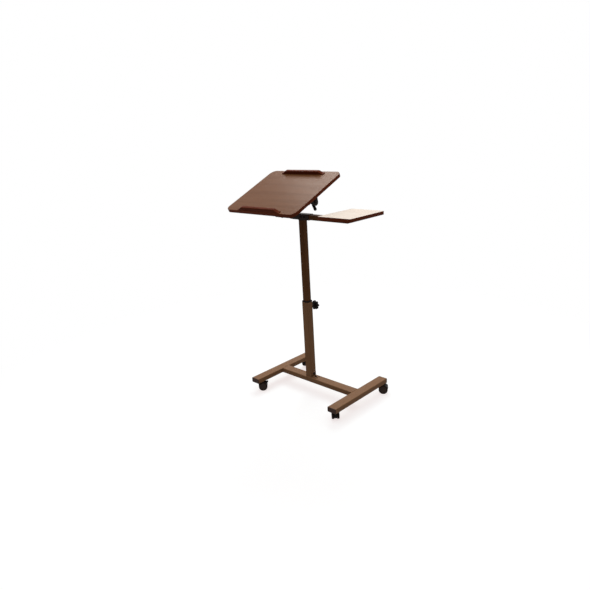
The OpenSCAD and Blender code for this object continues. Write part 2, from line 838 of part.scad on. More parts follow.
// Angle bracket under the desk, its ear outside the yoke's ear
module desk_bracket(side) {
    color(DARK) on_desk() difference() {
        union() {
            mirror([0, 0, 1]) ear(side * bracket_x, axis_drop);
            translate([side < 0 ? -bracket_x - ear_t / 2 - flange_w : bracket_x - ear_t / 2,
                -flange_len / 2, axis_drop - flange_t])
                cube([flange_w + ear_t, flange_len, flange_t]);
        }
        at_bracket_screws() translate([0, 0, -flange_t - 1]) rod_z(flange_t + 2, screw_r + hole_gap);
    }
}

module clamp_bracket() {
    color(DARK) on_desk() difference() {
        union() {
            for (s = [-1, 1]) mirror([0, 0, 1]) ear(clamp_mid + s * clamp_span / 2, axis_drop,
                clamp_ear_w, flange_len - 2 * clamp_foot_in, clamp_tail);
            translate([clamp_mid - clamp_span / 2 - ear_t / 2, -flange_len / 2, axis_drop - flange_t])
                cube([clamp_span + ear_t, flange_len, flange_t]);
        }
        at_bracket_screws() translate([0, 0, -flange_t - 1]) rod_z(flange_t + 2, screw_r + hole_gap);
    }
}

module bracket_screws() {
    color(ZINC) on_desk() at_bracket_screws() translate([0, 0, -flange_t]) wood_screw(flange_t);
}

rod_nut_t = 8;

module rod_nut() {
    color(DARK) on_desk() translate([-bracket_x - ear_t / 2, 0, 0]) rotate([0, -90, 0])
        nut(rod_nut_t, rod_r, run_gap);
}

// Lever

// Rod through every ear, its head beside the clamp bracket's right ear
module tilt_rod() {
    from = -bracket_x - ear_t / 2 - rod_out;
    to = clamp_mid + clamp_span / 2 + ear_t / 2 + slide_gap;
    color(DARK) on_desk() {
        translate([from, 0, 0]) rod_x(to - from + rod_head_t / 2, rod_r);
        translate([to, 0, 0]) rod_x(rod_head_t, rod_head_r);
    }
}

// Lever frame: origin on the tilt axis, mid-hub, z up while the desk stands as stored
hub_len = clamp_span - ear_t - 2 * slide_gap;
arm_turn = atan2(lever_reach, lever_drop);
arm_len = sqrt(lever_reach * lever_reach + lever_drop * lever_drop);
grip_from = lever_hub_r + grip_gap;

module on_lever() on_desk() rotate([-desk_angle, 0, 0]) translate([clamp_mid, 0, 0]) children();

module tilt_lever() {
    color(DARK) on_lever() difference() {
        union() {
            translate([-hub_len / 2, 0, 0]) rod_x(hub_len, lever_hub_r);
            rotate([0, 180 - arm_turn, 0]) rod_z(arm_len - ball_r, lever_arm_r);
        }
        translate([-hub_len, 0, 0]) rod_x(2 * hub_len, rod_r + seat_gap);
    }
}

module lever_grip() {
    color(DARK) on_lever() rotate([0, 180 - arm_turn, 0]) difference() {
        union() {
            translate([0, 0, arm_len]) sphere(ball_r, $fn = round_fn);
            translate([0, 0, grip_from]) rod_z(arm_len - grip_from, lever_arm_r + grip_t);
        }
        rod_z(arm_len - ball_r + seat_gap, lever_arm_r + seat_gap);
    }
}

// Height knob

module on_knob() place() translate([0, low_w / 2, knob_z]) rotate([-90, 0, 0]) children();

lobe_r = knob_d * 0.13;
stud_in = low_w / 2 - up_w / 2 - slide_gap;
stud_top = knob_reach + knob_t / 2;

module knob_head() {
    color(DARK) on_knob() difference() {
        union() {
            translate([0, 0, nut_t + slide_gap]) rod_z(knob_reach - nut_t - slide_gap, neck_r);
            translate([0, 0, knob_reach]) linear_extrude(knob_t) {
                circle(knob_d / 2 - lobe_r, $fn = round_fn);
                for (k = [0:lobes - 1]) rotate([0, 0, k * 360 / lobes])
                    translate([knob_d / 2 - lobe_r, 0]) circle(lobe_r, $fn = 40);
            }
        }
        rod_z(stud_top + seat_gap, stud_r + seat_gap);
    }
}

module knob_stud() {
    color(ZINC) on_knob() translate([0, 0, -stud_in]) rod_z(stud_in + stud_top, stud_r);
}

foot(-foot_left);
foot(foot_right);
crossbar();
foot_cap(-foot_left, -1);  // foot_cap_fl
foot_cap(foot_right, -1);  // foot_cap_fr
foot_cap(-foot_left, 1);  // foot_cap_bl
foot_cap(foot_right, 1);  // foot_cap_br
caster_stems();
caster_nuts();
lower_post();
post_collar();
knob_nut();
post_bracket();
post_bolts();
upper_post();
post_glide();
head_sleeve();
sleeve_screws();
top_bar();
bar_cap(-1);  // bar_cap_left
bar_cap(1);  // bar_cap_right
side_board();
side_edge_band();
side_plate();
side_screws();
tilt_yoke();
yoke_bolts();
desk_board();
desk_edge_band();
stop(front_stop_y);  // front_stop
stop(back_stop_y);  // back_stop
stop_screw_set();  // stop_screws
desk_bracket(-1);  // desk_bracket_left
desk_bracket(1);  // desk_bracket_right
clamp_bracket();
bracket_screws();
rod_nut();
tilt_rod();
tilt_lever();
lever_grip();
knob_head();
knob_stud();
for (i = [0:3]) {
    caster_hood(i);
    wheel_axle(i);
    wheel(i, -1);
    wheel(i, 1);
}
for (i = [0:1]) brake_tab(i);
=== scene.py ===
import json
import math

import bmesh
import bpy
import numpy as np
from mathutils import Matrix, Vector

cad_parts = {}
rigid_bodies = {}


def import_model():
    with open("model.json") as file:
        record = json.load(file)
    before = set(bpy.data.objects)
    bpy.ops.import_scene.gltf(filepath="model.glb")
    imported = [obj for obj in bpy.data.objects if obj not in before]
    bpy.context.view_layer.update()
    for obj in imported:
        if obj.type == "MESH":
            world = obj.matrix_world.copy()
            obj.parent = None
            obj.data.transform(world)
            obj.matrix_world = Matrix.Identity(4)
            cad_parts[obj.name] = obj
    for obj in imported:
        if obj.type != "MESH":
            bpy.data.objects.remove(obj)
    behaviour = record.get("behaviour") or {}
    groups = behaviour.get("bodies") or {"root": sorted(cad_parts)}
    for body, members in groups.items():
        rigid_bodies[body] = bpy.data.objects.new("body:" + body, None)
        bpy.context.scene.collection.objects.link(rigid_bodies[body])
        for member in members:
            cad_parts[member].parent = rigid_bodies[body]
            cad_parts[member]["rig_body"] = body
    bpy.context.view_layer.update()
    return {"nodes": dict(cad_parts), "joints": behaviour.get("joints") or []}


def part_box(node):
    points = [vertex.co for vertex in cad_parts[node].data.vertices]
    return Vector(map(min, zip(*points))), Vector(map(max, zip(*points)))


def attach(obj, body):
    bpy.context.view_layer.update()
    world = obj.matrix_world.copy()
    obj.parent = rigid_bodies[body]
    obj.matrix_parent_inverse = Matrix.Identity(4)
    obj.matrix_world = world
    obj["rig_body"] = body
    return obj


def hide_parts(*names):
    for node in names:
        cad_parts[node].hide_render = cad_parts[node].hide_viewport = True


# Looks of the laptop desk cart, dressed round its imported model.
# Metres, in the part's own frame: front is -Y, the user's right is +X, the floor is z = 0.

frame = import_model()

MM = 0.001
JOINT = {joint["name"]: joint for joint in frame["joints"]}
CORNERS = ("fl", "fr", "bl", "br")
BRAKED = ("fl", "fr")
SIDES = ("a", "b")

# Sizes of the part that its pieces take over
TUBE_WALL = 1.5 * MM
TUBE_CORNER = 3 * MM
BAR_CORNER = 2.5 * MM
DESK_CORNER = 32 * MM
SIDE_CORNER = 8 * MM
ROD_R = 5 * MM

# Camera, as fitted to the photograph's edges: its place from the post's axis at the cross tube's top
CAMERA_FROM_POST = Vector((1.82236, -1.93278, 1.25342))
CAMERA_AZIMUTH = math.radians(44.6)
CAMERA_DROP = math.radians(16.872)
CAMERA_ROLL = math.radians(-3.432)
CAMERA_LENS = 33.547


# Places

def joint_frame(name):
    """Frame at a joint's point, unturned."""
    return Matrix.Translation(JOINT[name]["pos_m"])


def desk_frame():
    """Frame of the desk board: origin on the tilt axis, z square to the board.

    The board is flat at the joint's lower limit.
    """
    flat_at = math.radians(JOINT["desk_tilt"]["range_deg"][0])
    return joint_frame("desk_tilt") @ Matrix.Rotation(-flat_at, 4, "X")


def caster_frame(corner):
    """Frame of a caster: origin on the floor under its stem, x towards the axle, y along the axle."""
    stem = Vector(JOINT[f"swivel_{corner}"]["pos_m"])
    ends = [Vector(JOINT[f"roll_{corner}_{side}"]["pos_m"]) for side in SIDES]
    axle = (ends[0] + ends[1]) / 2
    heading = math.atan2(axle.y - stem.y, axle.x - stem.x)
    return Matrix.Translation((stem.x, stem.y, 0)) @ Matrix.Rotation(heading, 4, "Z")


def box_in(node, place):
    """Lowest and highest corner of a CAD node, in the frame given by place."""
    mesh = frame["nodes"][node].data
    flat = np.empty(len(mesh.vertices) * 3)
    mesh.vertices.foreach_get("co", flat)
    inverse = np.array(place.inverted())
    local = flat.reshape(-1, 3) @ inverse[:3, :3].T + inverse[:3, 3]
    return local.min(0), local.max(0)


def middle_of(node):
    """Middle of a CAD node's box."""
    low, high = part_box(node)
    return (low + high) / 2


POST = middle_of("lower_post")

# Surfaces: each is a grid of points [row, column, xyz]

def surface(points, wrap_rows=False, wrap_columns=True, closed_ends=False):
    """Quads over a grid of points, as (points, faces, uv of each face corner).

    wrap_rows and wrap_columns join the last row or column to the first. closed_ends fills the first
    and the last row with one flat face each. u and v are metres along the columns and the rows.
    """
    rows, columns = points.shape[:2]
    i, j = np.meshgrid(np.arange(rows - 1 + wrap_rows), np.arange(columns - 1 + wrap_columns),
                       indexing="ij")
    i, j = i.ravel(), j.ravel()
    here, after = i * columns + j, i * columns + (j + 1) % columns
    step = (i + 1) % rows * columns - i * columns
    faces = np.stack([here, after, after + step, here + step], 1).tolist()
    u = np.append(0, np.cumsum(np.linalg.norm(np.roll(points, -1, 1) - points, axis=2).mean(0)))
    v = np.append(0, np.cumsum(np.linalg.norm(np.roll(points, -1, 0) - points, axis=2).mean(1)))
    uv = np.stack([u[j], v[i], u[j + 1], v[i], u[j + 1], v[i + 1], u[j], v[i + 1]], 1).reshape(-1, 2)
    if closed_ends:
        first, last = np.arange(columns)[::-1], np.arange(columns) + (rows - 1) * columns
        faces += [first.tolist(), last.tolist()]
        flat = points.reshape(-1, 3)
        uv = np.concatenate([uv, flat[first, :2], flat[last, :2]])
    return points.reshape(-1, 3), faces, uv


def arc(x, z, r, start, stop, steps=5):
    """Points of an arc about (x, z) with radius r, from one angle in degrees to another."""
    a = np.radians(np.linspace(start, stop, steps))
    return np.column_stack([x + r * np.cos(a), z + r * np.sin(a)])


def rounded_outline(w, d, r, steps=7):
    """Rounded rectangle about the origin: quarter circles of radius r about its four inset corners."""
    turn = np.linspace(0, math.pi / 2, steps)
    quarters = []
    for k, (sx, sy) in enumerate(((1, 1), (-1, 1), (-1, -1), (1, -1))):
        a = turn + k * math.pi / 2
        quarters.append(np.column_stack([sx * (w / 2 - r) + r * np.cos(a),
                                         sy * (d / 2 - r) + r * np.sin(a)]))
    return np.concatenate(quarters)


def stacked(w, d, r, section, steps=7):
    """A rounded rectangle carried up a section of (offset, height).

    Row k is the outline grown by the offset, its corner radius grown alike, at the height.
    """
    least = 0.1 * MM
    rows = []
    for offset, z in section:
        outline = rounded_outline(w + 2 * offset, d + 2 * offset, max(r + offset, least), steps)
        rows.append(np.column_stack([outline, np.full(len(outline), z)]))
    return np.stack(rows)


def turned(profile, steps=64, relief=None):
    """A profile of (radius, height) turned about z.

    relief(radius, angle) is added to the height, times the profile's third column.
    """
    angle = np.linspace(0, 2 * math.pi, steps, endpoint=False)
    radius = profile[:, :1] * np.ones(steps)
    height = profile[:, 1:2] * np.ones(steps)
    if relief is not None:
        height = height + profile[:, 2:3] * relief(radius, angle[None, :])
    return np.stack([radius * np.cos(angle), radius * np.sin(angle), height], 2)


def carried(path, radii, up, steps=14, round_trip=False):
    """A circle carried along a path: at each point it lies square to the path, with its radius there.

    Its first axis is the cross product of the path's direction and up.
    """
    if round_trip:
        along = np.roll(path, -1, 0) - np.roll(path, 1, 0)
    else:
        along = np.gradient(path, axis=0)
    along /= np.linalg.norm(along, axis=1)[:, None]
    side = np.cross(along, np.array(up, float))
    side /= np.linalg.norm(side, axis=1)[:, None]
    rise = np.cross(side, along)
    a = np.linspace(0, 2 * math.pi, steps, endpoint=False)
    ring = (np.cos(a)[None, :, None] * side[:, None] + np.sin(a)[None, :, None] * rise[:, None])
    return path[:, None] + np.broadcast_to(radii, len(path))[:, None, None] * ring


def evenly(points, pitch, round_trip=False):
    """The same line, with its points at an even pitch along it."""
    if round_trip:
        points = np.concatenate([points, points[:1]])
    run = np.append(0, np.cumsum(np.linalg.norm(np.diff(points, axis=0), axis=1)))
    places = np.linspace(0, run[-1], max(8, int(run[-1] / pitch)), endpoint=not round_trip)
    return np.column_stack([np.interp(places, run, points[:, k]) for k in range(points.shape[1])])


# Pieces

def crease(mesh, angle=35):
    """Smooth shading, with an edge kept sharp where its faces meet at more than the angle."""
    mesh.polygons.foreach_set("use_smooth", np.ones(len(mesh.polygons), bool))
    mesh.set_sharp_from_angle(angle=math.radians(angle))


def add_piece(name, surfaces, material, body, place=None, stands_for=()):
    """One object from closed surfaces: doubles merged, faces turned outwards, its place in its mesh."""
    start, points, faces, uv = 0, [], [], []
    for p, f, t in surfaces:
        points.append(p)
        faces += [[k + start for k in face] for face in f]
        uv.append(t)
        start += len(p)
    mesh = bpy.data.meshes.new(name)
    mesh.from_pydata(np.concatenate(points), [], faces)
    mesh.uv_layers.new(name="surface").data.foreach_set("uv", np.concatenate(uv).ravel())
    mesh.transform(place or Matrix())
    work = bmesh.new()
    work.from_mesh(mesh)
    bmesh.ops.remove_doubles(work, verts=work.verts, dist=1e-6)
    bmesh.ops.recalc_face_normals(work, faces=work.faces)
    work.to_mesh(mesh)
    work.free()
    crease(mesh)
    return settle(name, mesh, material, body, stands_for)


def settle(name, mesh, material, body, stands_for=()):
    """Links a mesh as a piece, with its finish, its body and the CAD nodes that it stands for."""
    mesh.materials.clear()
    mesh.materials.append(material)
    piece = bpy.data.objects.new(name, mesh)
    bpy.context.scene.collection.objects.link(piece)
    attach(piece, body)
    if stands_for:
        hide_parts(*stands_for)
    return piece


def eased(node, material, slot, width=0.6 * MM):
    """A copy of a CAD node with its doubles merged and its sharp edges rounded to the given width."""
    source = frame["nodes"][node]
    mesh = source.data.copy()
    work = bmesh.new()
    work.from_mesh(mesh)
    bmesh.ops.remove_doubles(work, verts=work.verts, dist=1e-6)
    bmesh.ops.dissolve_limit(work, angle_limit=math.radians(0.5), verts=work.verts, edges=work.edges)
    work.to_mesh(mesh)
    work.free()
    crease(mesh)
    piece = settle(f"{node}_eased", mesh, material, source["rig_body"], (node,))
    edges = piece.modifiers.new("eased edges", "BEVEL")
    edges.width = width
    edges.segments = 2
    edges.limit_method = "ANGLE"
    edges.angle_limit = math.radians(40)
    edges.use_clamp_overlap = True
    edges.harden_normals = True
    return piece


# Shader nodes

def add(tree, kind, inputs=None, **settings):
    """Adds a node of that kind, sets its properties, and fills its inputs with values or links."""
    made = tree.nodes.new(kind)
    for key, value in settings.items():
        setattr(made, key, value)
    for key, value in (inputs or {}).items():
        if isinstance(value, bpy.types.NodeSocket):
            tree.links.new(value, made.inputs[key])
        else:
            made.inputs[key].default_value = value
    return made


def maths(tree, operation, a, b=0.0, clamp=False):
    """One Math node, as its output."""
    return add(tree, "ShaderNodeMath", {0: a, 1: b}, operation=operation, use_clamp=clamp).outputs[0]


def blended(tree, share, a, b, mode="MIX"):
    """Colour a turned into b by the share, as an output."""
    made = add(tree, "ShaderNodeMix", {0: share, 6: a, 7: b}, data_type="RGBA", blend_type=mode)
    return made.outputs[2]


def steps_between(tree, value, low, high):
    """0 below low, 1 above high and a smooth rise between, as an output."""
    made = add(tree, "ShaderNodeMapRange", {"Value": value, "From Min": low, "From Max": high},
               interpolation_type="SMOOTHSTEP")
    return made.outputs[0]


def noise(tree, vector, scale, detail=3.0, roughness=0.5, distortion=0.0):
    """Noise over a vector, as its value output."""
    made = add(tree, "ShaderNodeTexNoise", {"Vector": vector, "Scale": scale, "Detail": detail,
                                            "Roughness": roughness, "Distortion": distortion})
    return made.outputs["Fac"]


def stretched(tree, vector, scale):
    """A vector scaled along each axis, as an output."""
    return add(tree, "ShaderNodeMapping", {"Vector": vector, "Scale": scale}).outputs[0]


def effect(name, takes, gives):
    """A new node group: its tree, its inputs and its outputs. takes and gives are (label, kind)."""
    tree = bpy.data.node_groups.new(name, "ShaderNodeTree")
    for label, kind in takes:
        tree.interface.new_socket(name=label, in_out="INPUT", socket_type=f"NodeSocket{kind}")
    for label, kind in gives:
        tree.interface.new_socket(name=label, in_out="OUTPUT", socket_type=f"NodeSocket{kind}")
    ins = tree.nodes.new("NodeGroupInput").outputs
    outs = tree.nodes.new("NodeGroupOutput").inputs
    return tree, ins, outs


# Scales of the patterns, in turns of the noise for each metre
CLOUDS = 22.0
DUST_PATCHES, DUST_SPECKS = 14.0, 900.0
RUB_STREAKS, RUB_PLACES = (18.0, 700.0, 700.0), 17.0
WOOD_RINGS, WOOD_FIBRES, WOOD_PORES = (1.6, 26.0, 26.0), (9.0, 420.0, 420.0), (60.0, 1500.0, 1500.0)
RING_SHARE = 0.6
PORE_DEPTH = 0.45
DUST_ROUGHNESS = 0.6


def fine_skin():
    """Skin of a coat, a moulding or a plated part: a fine grain and a slow cloudiness.

    Colour is the given one lightened and darkened by the clouds, times Mottle. Roughness is the given
    one moved by both, times Spread. Height is the grain, from 0 to 1.
    """
    tree, ins, outs = effect("fine skin",
                             [("Vector", "Vector"), ("Colour", "Color"), ("Grain", "Float"),
                              ("Mottle", "Float"), ("Roughness", "Float"), ("Spread", "Float")],
                             [("Colour", "Color"), ("Roughness", "Float"), ("Height", "Float")])
    grain = noise(tree, ins["Vector"], ins["Grain"], 2.0, 0.6)
    clouds = noise(tree, ins["Vector"], CLOUDS, 4.0, 0.55)
    around = maths(tree, "SUBTRACT", clouds, 0.5)
    gain = maths(tree, "ADD", maths(tree, "MULTIPLY", around, ins["Mottle"]), 1.0)
    grainy = maths(tree, "MULTIPLY", maths(tree, "SUBTRACT", grain, 0.5), ins["Mottle"])
    tone = add(tree, "ShaderNodeVectorMath", {0: ins["Colour"], 3: maths(tree, "ADD", gain, grainy)},
               operation="SCALE")
    tree.links.new(tone.outputs[0], outs["Colour"])
    swing = maths(tree, "MULTIPLY", maths(tree, "ADD", around, maths(tree, "SUBTRACT", grain, 0.5)),
                  ins["Spread"])
    tree.links.new(maths(tree, "ADD", ins["Roughness"], swing, clamp=True), outs["Roughness"])
    tree.links.new(grain, outs["Height"])
    return tree


def settled_dust():
    """Thin dust: most on faces that look up, broken into soft patches. Mask is 0 to Amount."""
    tree, ins, outs = effect("settled dust", [("Vector", "Vector"), ("Amount", "Float")],
                             [("Mask", "Float")])
    normal = add(tree, "ShaderNodeNewGeometry").outputs["Normal"]
    facing = add(tree, "ShaderNodeSeparateXYZ", {0: normal})
    level = steps_between(tree, facing.outputs["Z"], 0.55, 1.0)
    patches = steps_between(tree, noise(tree, ins["Vector"], DUST_PATCHES, 6.0, 0.62), 0.35, 0.72)
    specks = steps_between(tree, noise(tree, ins["Vector"], DUST_SPECKS, 1.0), 0.58, 0.72)
    cover = maths(tree, "MULTIPLY", level, maths(tree, "MAXIMUM", patches, specks))
    tree.links.new(maths(tree, "MULTIPLY", cover, ins["Amount"]), outs["Mask"])
    return tree


def rubbed_places():
    """Light rubbing marks: long thin streaks along the vector's x, in a few places.

    Mask is 0 to Amount.
    """
    tree, ins, outs = effect("rubbed places", [("Vector", "Vector"), ("Amount", "Float")],
                             [("Mask", "Float")])
    streaks = noise(tree, stretched(tree, ins["Vector"], RUB_STREAKS), 1.0, 3.0, 0.7)
    places = steps_between(tree, noise(tree, ins["Vector"], RUB_PLACES, 3.0), 0.52, 0.68)
    thin = steps_between(tree, streaks, 0.62, 0.74)
    mark = maths(tree, "MULTIPLY", thin, places)
    tree.links.new(maths(tree, "MULTIPLY", mark, ins["Amount"]), outs["Mask"])
    return tree


def wood_figure():
    """Straight-grained wood along the vector's x.

    Growth rings are a noise drawn out along the grain, fibres a much finer one, and pores its peaks.
    Colour runs from Dark to Light by rings and fibres, times Contrast about their middle, and the pores
    darken it. Height is 1 off the pores and 0 in them, and Shine is higher on the light rings.
    """
    tree, ins, outs = effect("wood figure",
                             [("Vector", "Vector"), ("Light", "Color"), ("Dark", "Color"),
                              ("Contrast", "Float"), ("Pores", "Float")],
                             [("Colour", "Color"), ("Height", "Float"), ("Shine", "Float")])
    rings = noise(tree, stretched(tree, ins["Vector"], WOOD_RINGS), 1.0, 4.0, 0.5, 0.6)
    fibres = noise(tree, stretched(tree, ins["Vector"], WOOD_FIBRES), 1.0, 3.0, 0.65)
    pores = noise(tree, stretched(tree, ins["Vector"], WOOD_PORES), 1.0, 1.0)
    bands = steps_between(tree, rings, 0.32, 0.68)
    figure = maths(tree, "ADD", maths(tree, "MULTIPLY", bands, RING_SHARE),
                   maths(tree, "MULTIPLY", fibres, 1 - RING_SHARE))
    spread = maths(tree, "MULTIPLY", maths(tree, "SUBTRACT", figure, 0.5), ins["Contrast"])
    share = maths(tree, "ADD", spread, 0.5, clamp=True)
    holes = maths(tree, "MULTIPLY", steps_between(tree, pores, 0.66, 0.76), ins["Pores"])
    tone = blended(tree, share, ins["Dark"], ins["Light"])
    left = maths(tree, "SUBTRACT", 1.0, maths(tree, "MULTIPLY", holes, PORE_DEPTH))
    deep = add(tree, "ShaderNodeVectorMath", {0: tone, 3: left}, operation="SCALE")
    tree.links.new(deep.outputs[0], outs["Colour"])
    tree.links.new(maths(tree, "SUBTRACT", 1.0, holes), outs["Height"])
    tree.links.new(share, outs["Shine"])
    return tree


SKIN = fine_skin()
DUST = settled_dust()
RUBS = rubbed_places()
WOOD = wood_figure()


def new_material(name):
    """A material with an empty tree, its Principled shader and its Object coordinates."""
    material = bpy.data.materials.new(name)
    material.use_nodes = True
    tree = material.node_tree
    shader = tree.nodes["Principled BSDF"]
    place = tree.nodes.new("ShaderNodeTexCoord")
    return material, tree, shader, place.outputs["Object"]


def use(tree, which, **inputs):
    """Places a node group in a material, with its inputs by name, and gives its outputs."""
    made = tree.nodes.new("ShaderNodeGroup")
    made.node_tree = which
    for key, value in inputs.items():
        if isinstance(value, bpy.types.NodeSocket):
            tree.links.new(value, made.inputs[key])
        else:
            made.inputs[key].default_value = value
    return made.outputs


def raise_grain(tree, shader, height, depth):
    """Joins a height to the shader's normal through a Bump node; depth is in metres."""
    bump = add(tree, "ShaderNodeBump", {"Height": height, "Distance": depth, "Strength": 1.0})
    tree.links.new(bump.outputs[0], shader.inputs["Normal"])


def skinned(name, colour, roughness, grain, mottle=0.18, spread=0.12, depth=0.03 * MM, dust=0.0,
            metallic=0.0, rub=0.0, rub_colour=(0.5, 0.5, 0.5, 1), specular=0.08):
    """A painted, moulded or plated finish: the fine skin, with dust and rubbing marks over it."""
    material, tree, shader, place = new_material(name)
    skin = use(tree, SKIN, Vector=place, Colour=colour, Grain=grain, Mottle=mottle,
               Roughness=roughness, Spread=spread)
    tone, gloss = skin["Colour"], skin["Roughness"]
    if rub:
        mark = use(tree, RUBS, Vector=place, Amount=rub)["Mask"]
        tone = blended(tree, mark, tone, rub_colour)
    if dust:
        cover = use(tree, DUST, Vector=place, Amount=dust)["Mask"]
        tone = blended(tree, cover, tone, DUST_COLOUR)
        gloss = maths(tree, "ADD", gloss, maths(tree, "MULTIPLY", cover, DUST_ROUGHNESS), clamp=True)
    tree.links.new(tone, shader.inputs["Base Color"])
    tree.links.new(gloss, shader.inputs["Roughness"])
    shader.inputs["Metallic"].default_value = metallic
    shader.inputs["Specular IOR Level"].default_value = specular
    raise_grain(tree, shader, skin["Height"], depth)
    return material


def wooden(name, light, dark, contrast, pores, roughness, depth=0.02 * MM, slope=0.0, dust=0.0,
           specular=0.06, along_surface=False):
    """A laminate or lacquered wood: the figure runs along X, in a board that slopes about X."""
    material, tree, shader, place = new_material(name)
    if along_surface:
        place = tree.nodes["Texture Coordinate"].outputs["UV"]
    level = add(tree, "ShaderNodeMapping", {"Vector": place, "Rotation": (-slope, 0, 0)}).outputs[0]
    wood = use(tree, WOOD, Vector=level, Light=light, Dark=dark, Contrast=contrast, Pores=pores)
    skin = use(tree, SKIN, Vector=place, Colour=wood["Colour"], Grain=1400.0, Mottle=0.08,
               Roughness=roughness, Spread=0.08)
    tone = skin["Colour"]
    gloss = maths(tree, "SUBTRACT", skin["Roughness"], maths(tree, "MULTIPLY", wood["Shine"], 0.05))
    if dust:
        cover = use(tree, DUST, Vector=place, Amount=dust)["Mask"]
        tone = blended(tree, cover, tone, DUST_COLOUR)
        gloss = maths(tree, "ADD", gloss, maths(tree, "MULTIPLY", cover, DUST_ROUGHNESS), clamp=True)
    tree.links.new(tone, shader.inputs["Base Color"])
    tree.links.new(gloss, shader.inputs["Roughness"])
    shader.inputs["Specular IOR Level"].default_value = specular
    raise_grain(tree, shader, wood["Height"], depth)
    return material


# Finishes, with their colours as linear light
DUST_COLOUR = (0.55, 0.50, 0.44, 1)
SLOPE = math.radians(-JOINT["desk_tilt"]["range_deg"][0])

BRONZE_PAINT = skinned("bronze powder coat", (0.235, 0.120, 0.058, 1), 0.46, 1300.0, mottle=0.22,
                       spread=0.16, depth=0.05 * MM, dust=0.06, specular=0.07)
# The base's bronze coat, darkened as painted shade of the desk above the mast; the paint itself is the
# same as the base's.
SHADED_MAST_PAINT = skinned("bronze powder coat darkened as painted shade", (0.125, 0.050, 0.016, 1), 0.46, 1300.0, mottle=0.22,
                     spread=0.16, depth=0.05 * MM, dust=0.03, specular=0.05)
BLACK_PAINT = skinned("black powder coat", (0.020, 0.011, 0.008, 1), 0.45, 1500.0, mottle=0.3,
                      spread=0.16, depth=0.04 * MM, dust=0.04, rub=0.2,
                      rub_colour=(0.12, 0.11, 0.10, 1))
BLACK_PLASTIC = skinned("black moulded plastic", (0.009, 0.006, 0.005, 1), 0.42, 2200.0, mottle=0.25,
                        spread=0.14, depth=0.02 * MM, dust=0.01, specular=0.06)
CAP_PLASTIC = skinned("brown moulded plastic", (0.070, 0.036, 0.026, 1), 0.42, 2000.0, mottle=0.2,
                      spread=0.14, depth=0.02 * MM, dust=0.04)
TREAD = skinned("wheel tread", (0.024, 0.013, 0.009, 1), 0.62, 900.0, mottle=0.4, spread=0.2,
                depth=0.03 * MM, dust=0.20, rub=0.3, rub_colour=(0.09, 0.08, 0.07, 1))
HUB = skinned("wheel hub", (0.042, 0.025, 0.018, 1), 0.38, 2200.0, mottle=0.25, spread=0.14,
              depth=0.02 * MM, dust=0.04, specular=0.15)
ZINC = skinned("zinc plate", (0.58, 0.57, 0.54, 1), 0.32, 1800.0, mottle=0.3, spread=0.25,
               depth=0.015 * MM, metallic=0.95, rub=0.3, rub_colour=(0.30, 0.27, 0.22, 1),
               specular=0.5)
WALNUT = wooden("walnut laminate", (0.193, 0.078, 0.029, 1), (0.143, 0.052, 0.017, 1), 0.9, 0.5,
                0.38, depth=0.002 * MM, slope=SLOPE, dust=0.01, specular=0.065)
CREAM = wooden("cream laminate", (0.86, 0.76, 0.66, 1), (0.79, 0.67, 0.56, 1), 0.8, 0.25, 0.34,
               dust=0.01)
DARK_WALNUT = wooden("dark walnut lacquer", (0.180, 0.040, 0.015, 1), (0.095, 0.018, 0.007, 1), 1.1,
                     0.6, 0.40, slope=SLOPE, specular=0.02)
DARK_EDGE = wooden("dark edge strip", (0.190, 0.044, 0.017, 1), (0.115, 0.024, 0.009, 1), 0.9, 0.4,
                   0.40, along_surface=True, specular=0.02)

# Finish and slot of each CAD node that stays or is eased
CAD_FINISH = {}
for finish, slot, nodes in (
    (BRONZE_PAINT, "bronze_paint", "foot_left foot_right crossbar lower_post knob_nut post_bracket"),
    # Upper post, top bar and their brackets: the bronze coat darkened as painted shade under the desk
    (SHADED_MAST_PAINT, "bronze_paint", "upper_post top_bar side_plate tilt_yoke"),
    (BLACK_PAINT, "black_paint", "post_bolts sleeve_screws head_sleeve desk_bracket_left"
     " desk_bracket_right clamp_bracket yoke_bolts rod_nut tilt_rod tilt_lever"),
    (BLACK_PLASTIC, "black_plastic", "post_collar post_glide bar_cap_left bar_cap_right lever_grip"
     " knob_head"),
    (BLACK_PLASTIC, "black_plastic", " ".join(f"caster_hood_{c}" for c in CORNERS)),
    (BLACK_PLASTIC, "black_plastic", " ".join(f"brake_tab_{c}" for c in BRAKED)),
    (CAP_PLASTIC, "black_plastic", " ".join(f"foot_cap_{c}" for c in CORNERS)),
    (ZINC, "zinc_steel", "caster_stems caster_nuts side_screws stop_screws bracket_screws knob_stud"),
    (ZINC, "zinc_steel", " ".join(f"wheel_axle_{c}" for c in CORNERS)),
    (WALNUT, "walnut_laminate", "desk_board"),
    (CREAM, "cream_laminate", "side_board"),
    (DARK_EDGE, "dark_walnut", "desk_edge_band side_edge_band front_stop back_stop"),
    (TREAD, "wheel_plastic", " ".join(f"wheel_{c}_{s}" for c in CORNERS for s in SIDES)),
):
    CAD_FINISH.update({node: (finish, slot) for node in nodes.split()})


def finish_cad_nodes():
    """Gives each CAD node its finish, also where a piece stands for it."""
    for name, node in frame["nodes"].items():
        node.data.materials.clear()
        node.data.materials.append(CAD_FINISH[name][0])


# Folded brackets, tubes and fasteners: copies of their nodes with eased edges

EASED = {
    0.3 * MM: "foot_left foot_right crossbar lower_post upper_post top_bar",
    0.7 * MM: "tilt_yoke desk_bracket_left desk_bracket_right clamp_bracket post_bracket side_plate",
    0.5 * MM: "head_sleeve knob_nut rod_nut " + " ".join(f"caster_hood_{c}" for c in CORNERS),
    0.2 * MM: "post_bolts sleeve_screws yoke_bolts caster_stems caster_nuts tilt_rod",
}


def make_eased():
    """Eased copies of the nodes, by the width of the easing."""
    for width, nodes in EASED.items():
        for node in nodes.split():
            eased(node, *CAD_FINISH[node], width)


# Weld beads

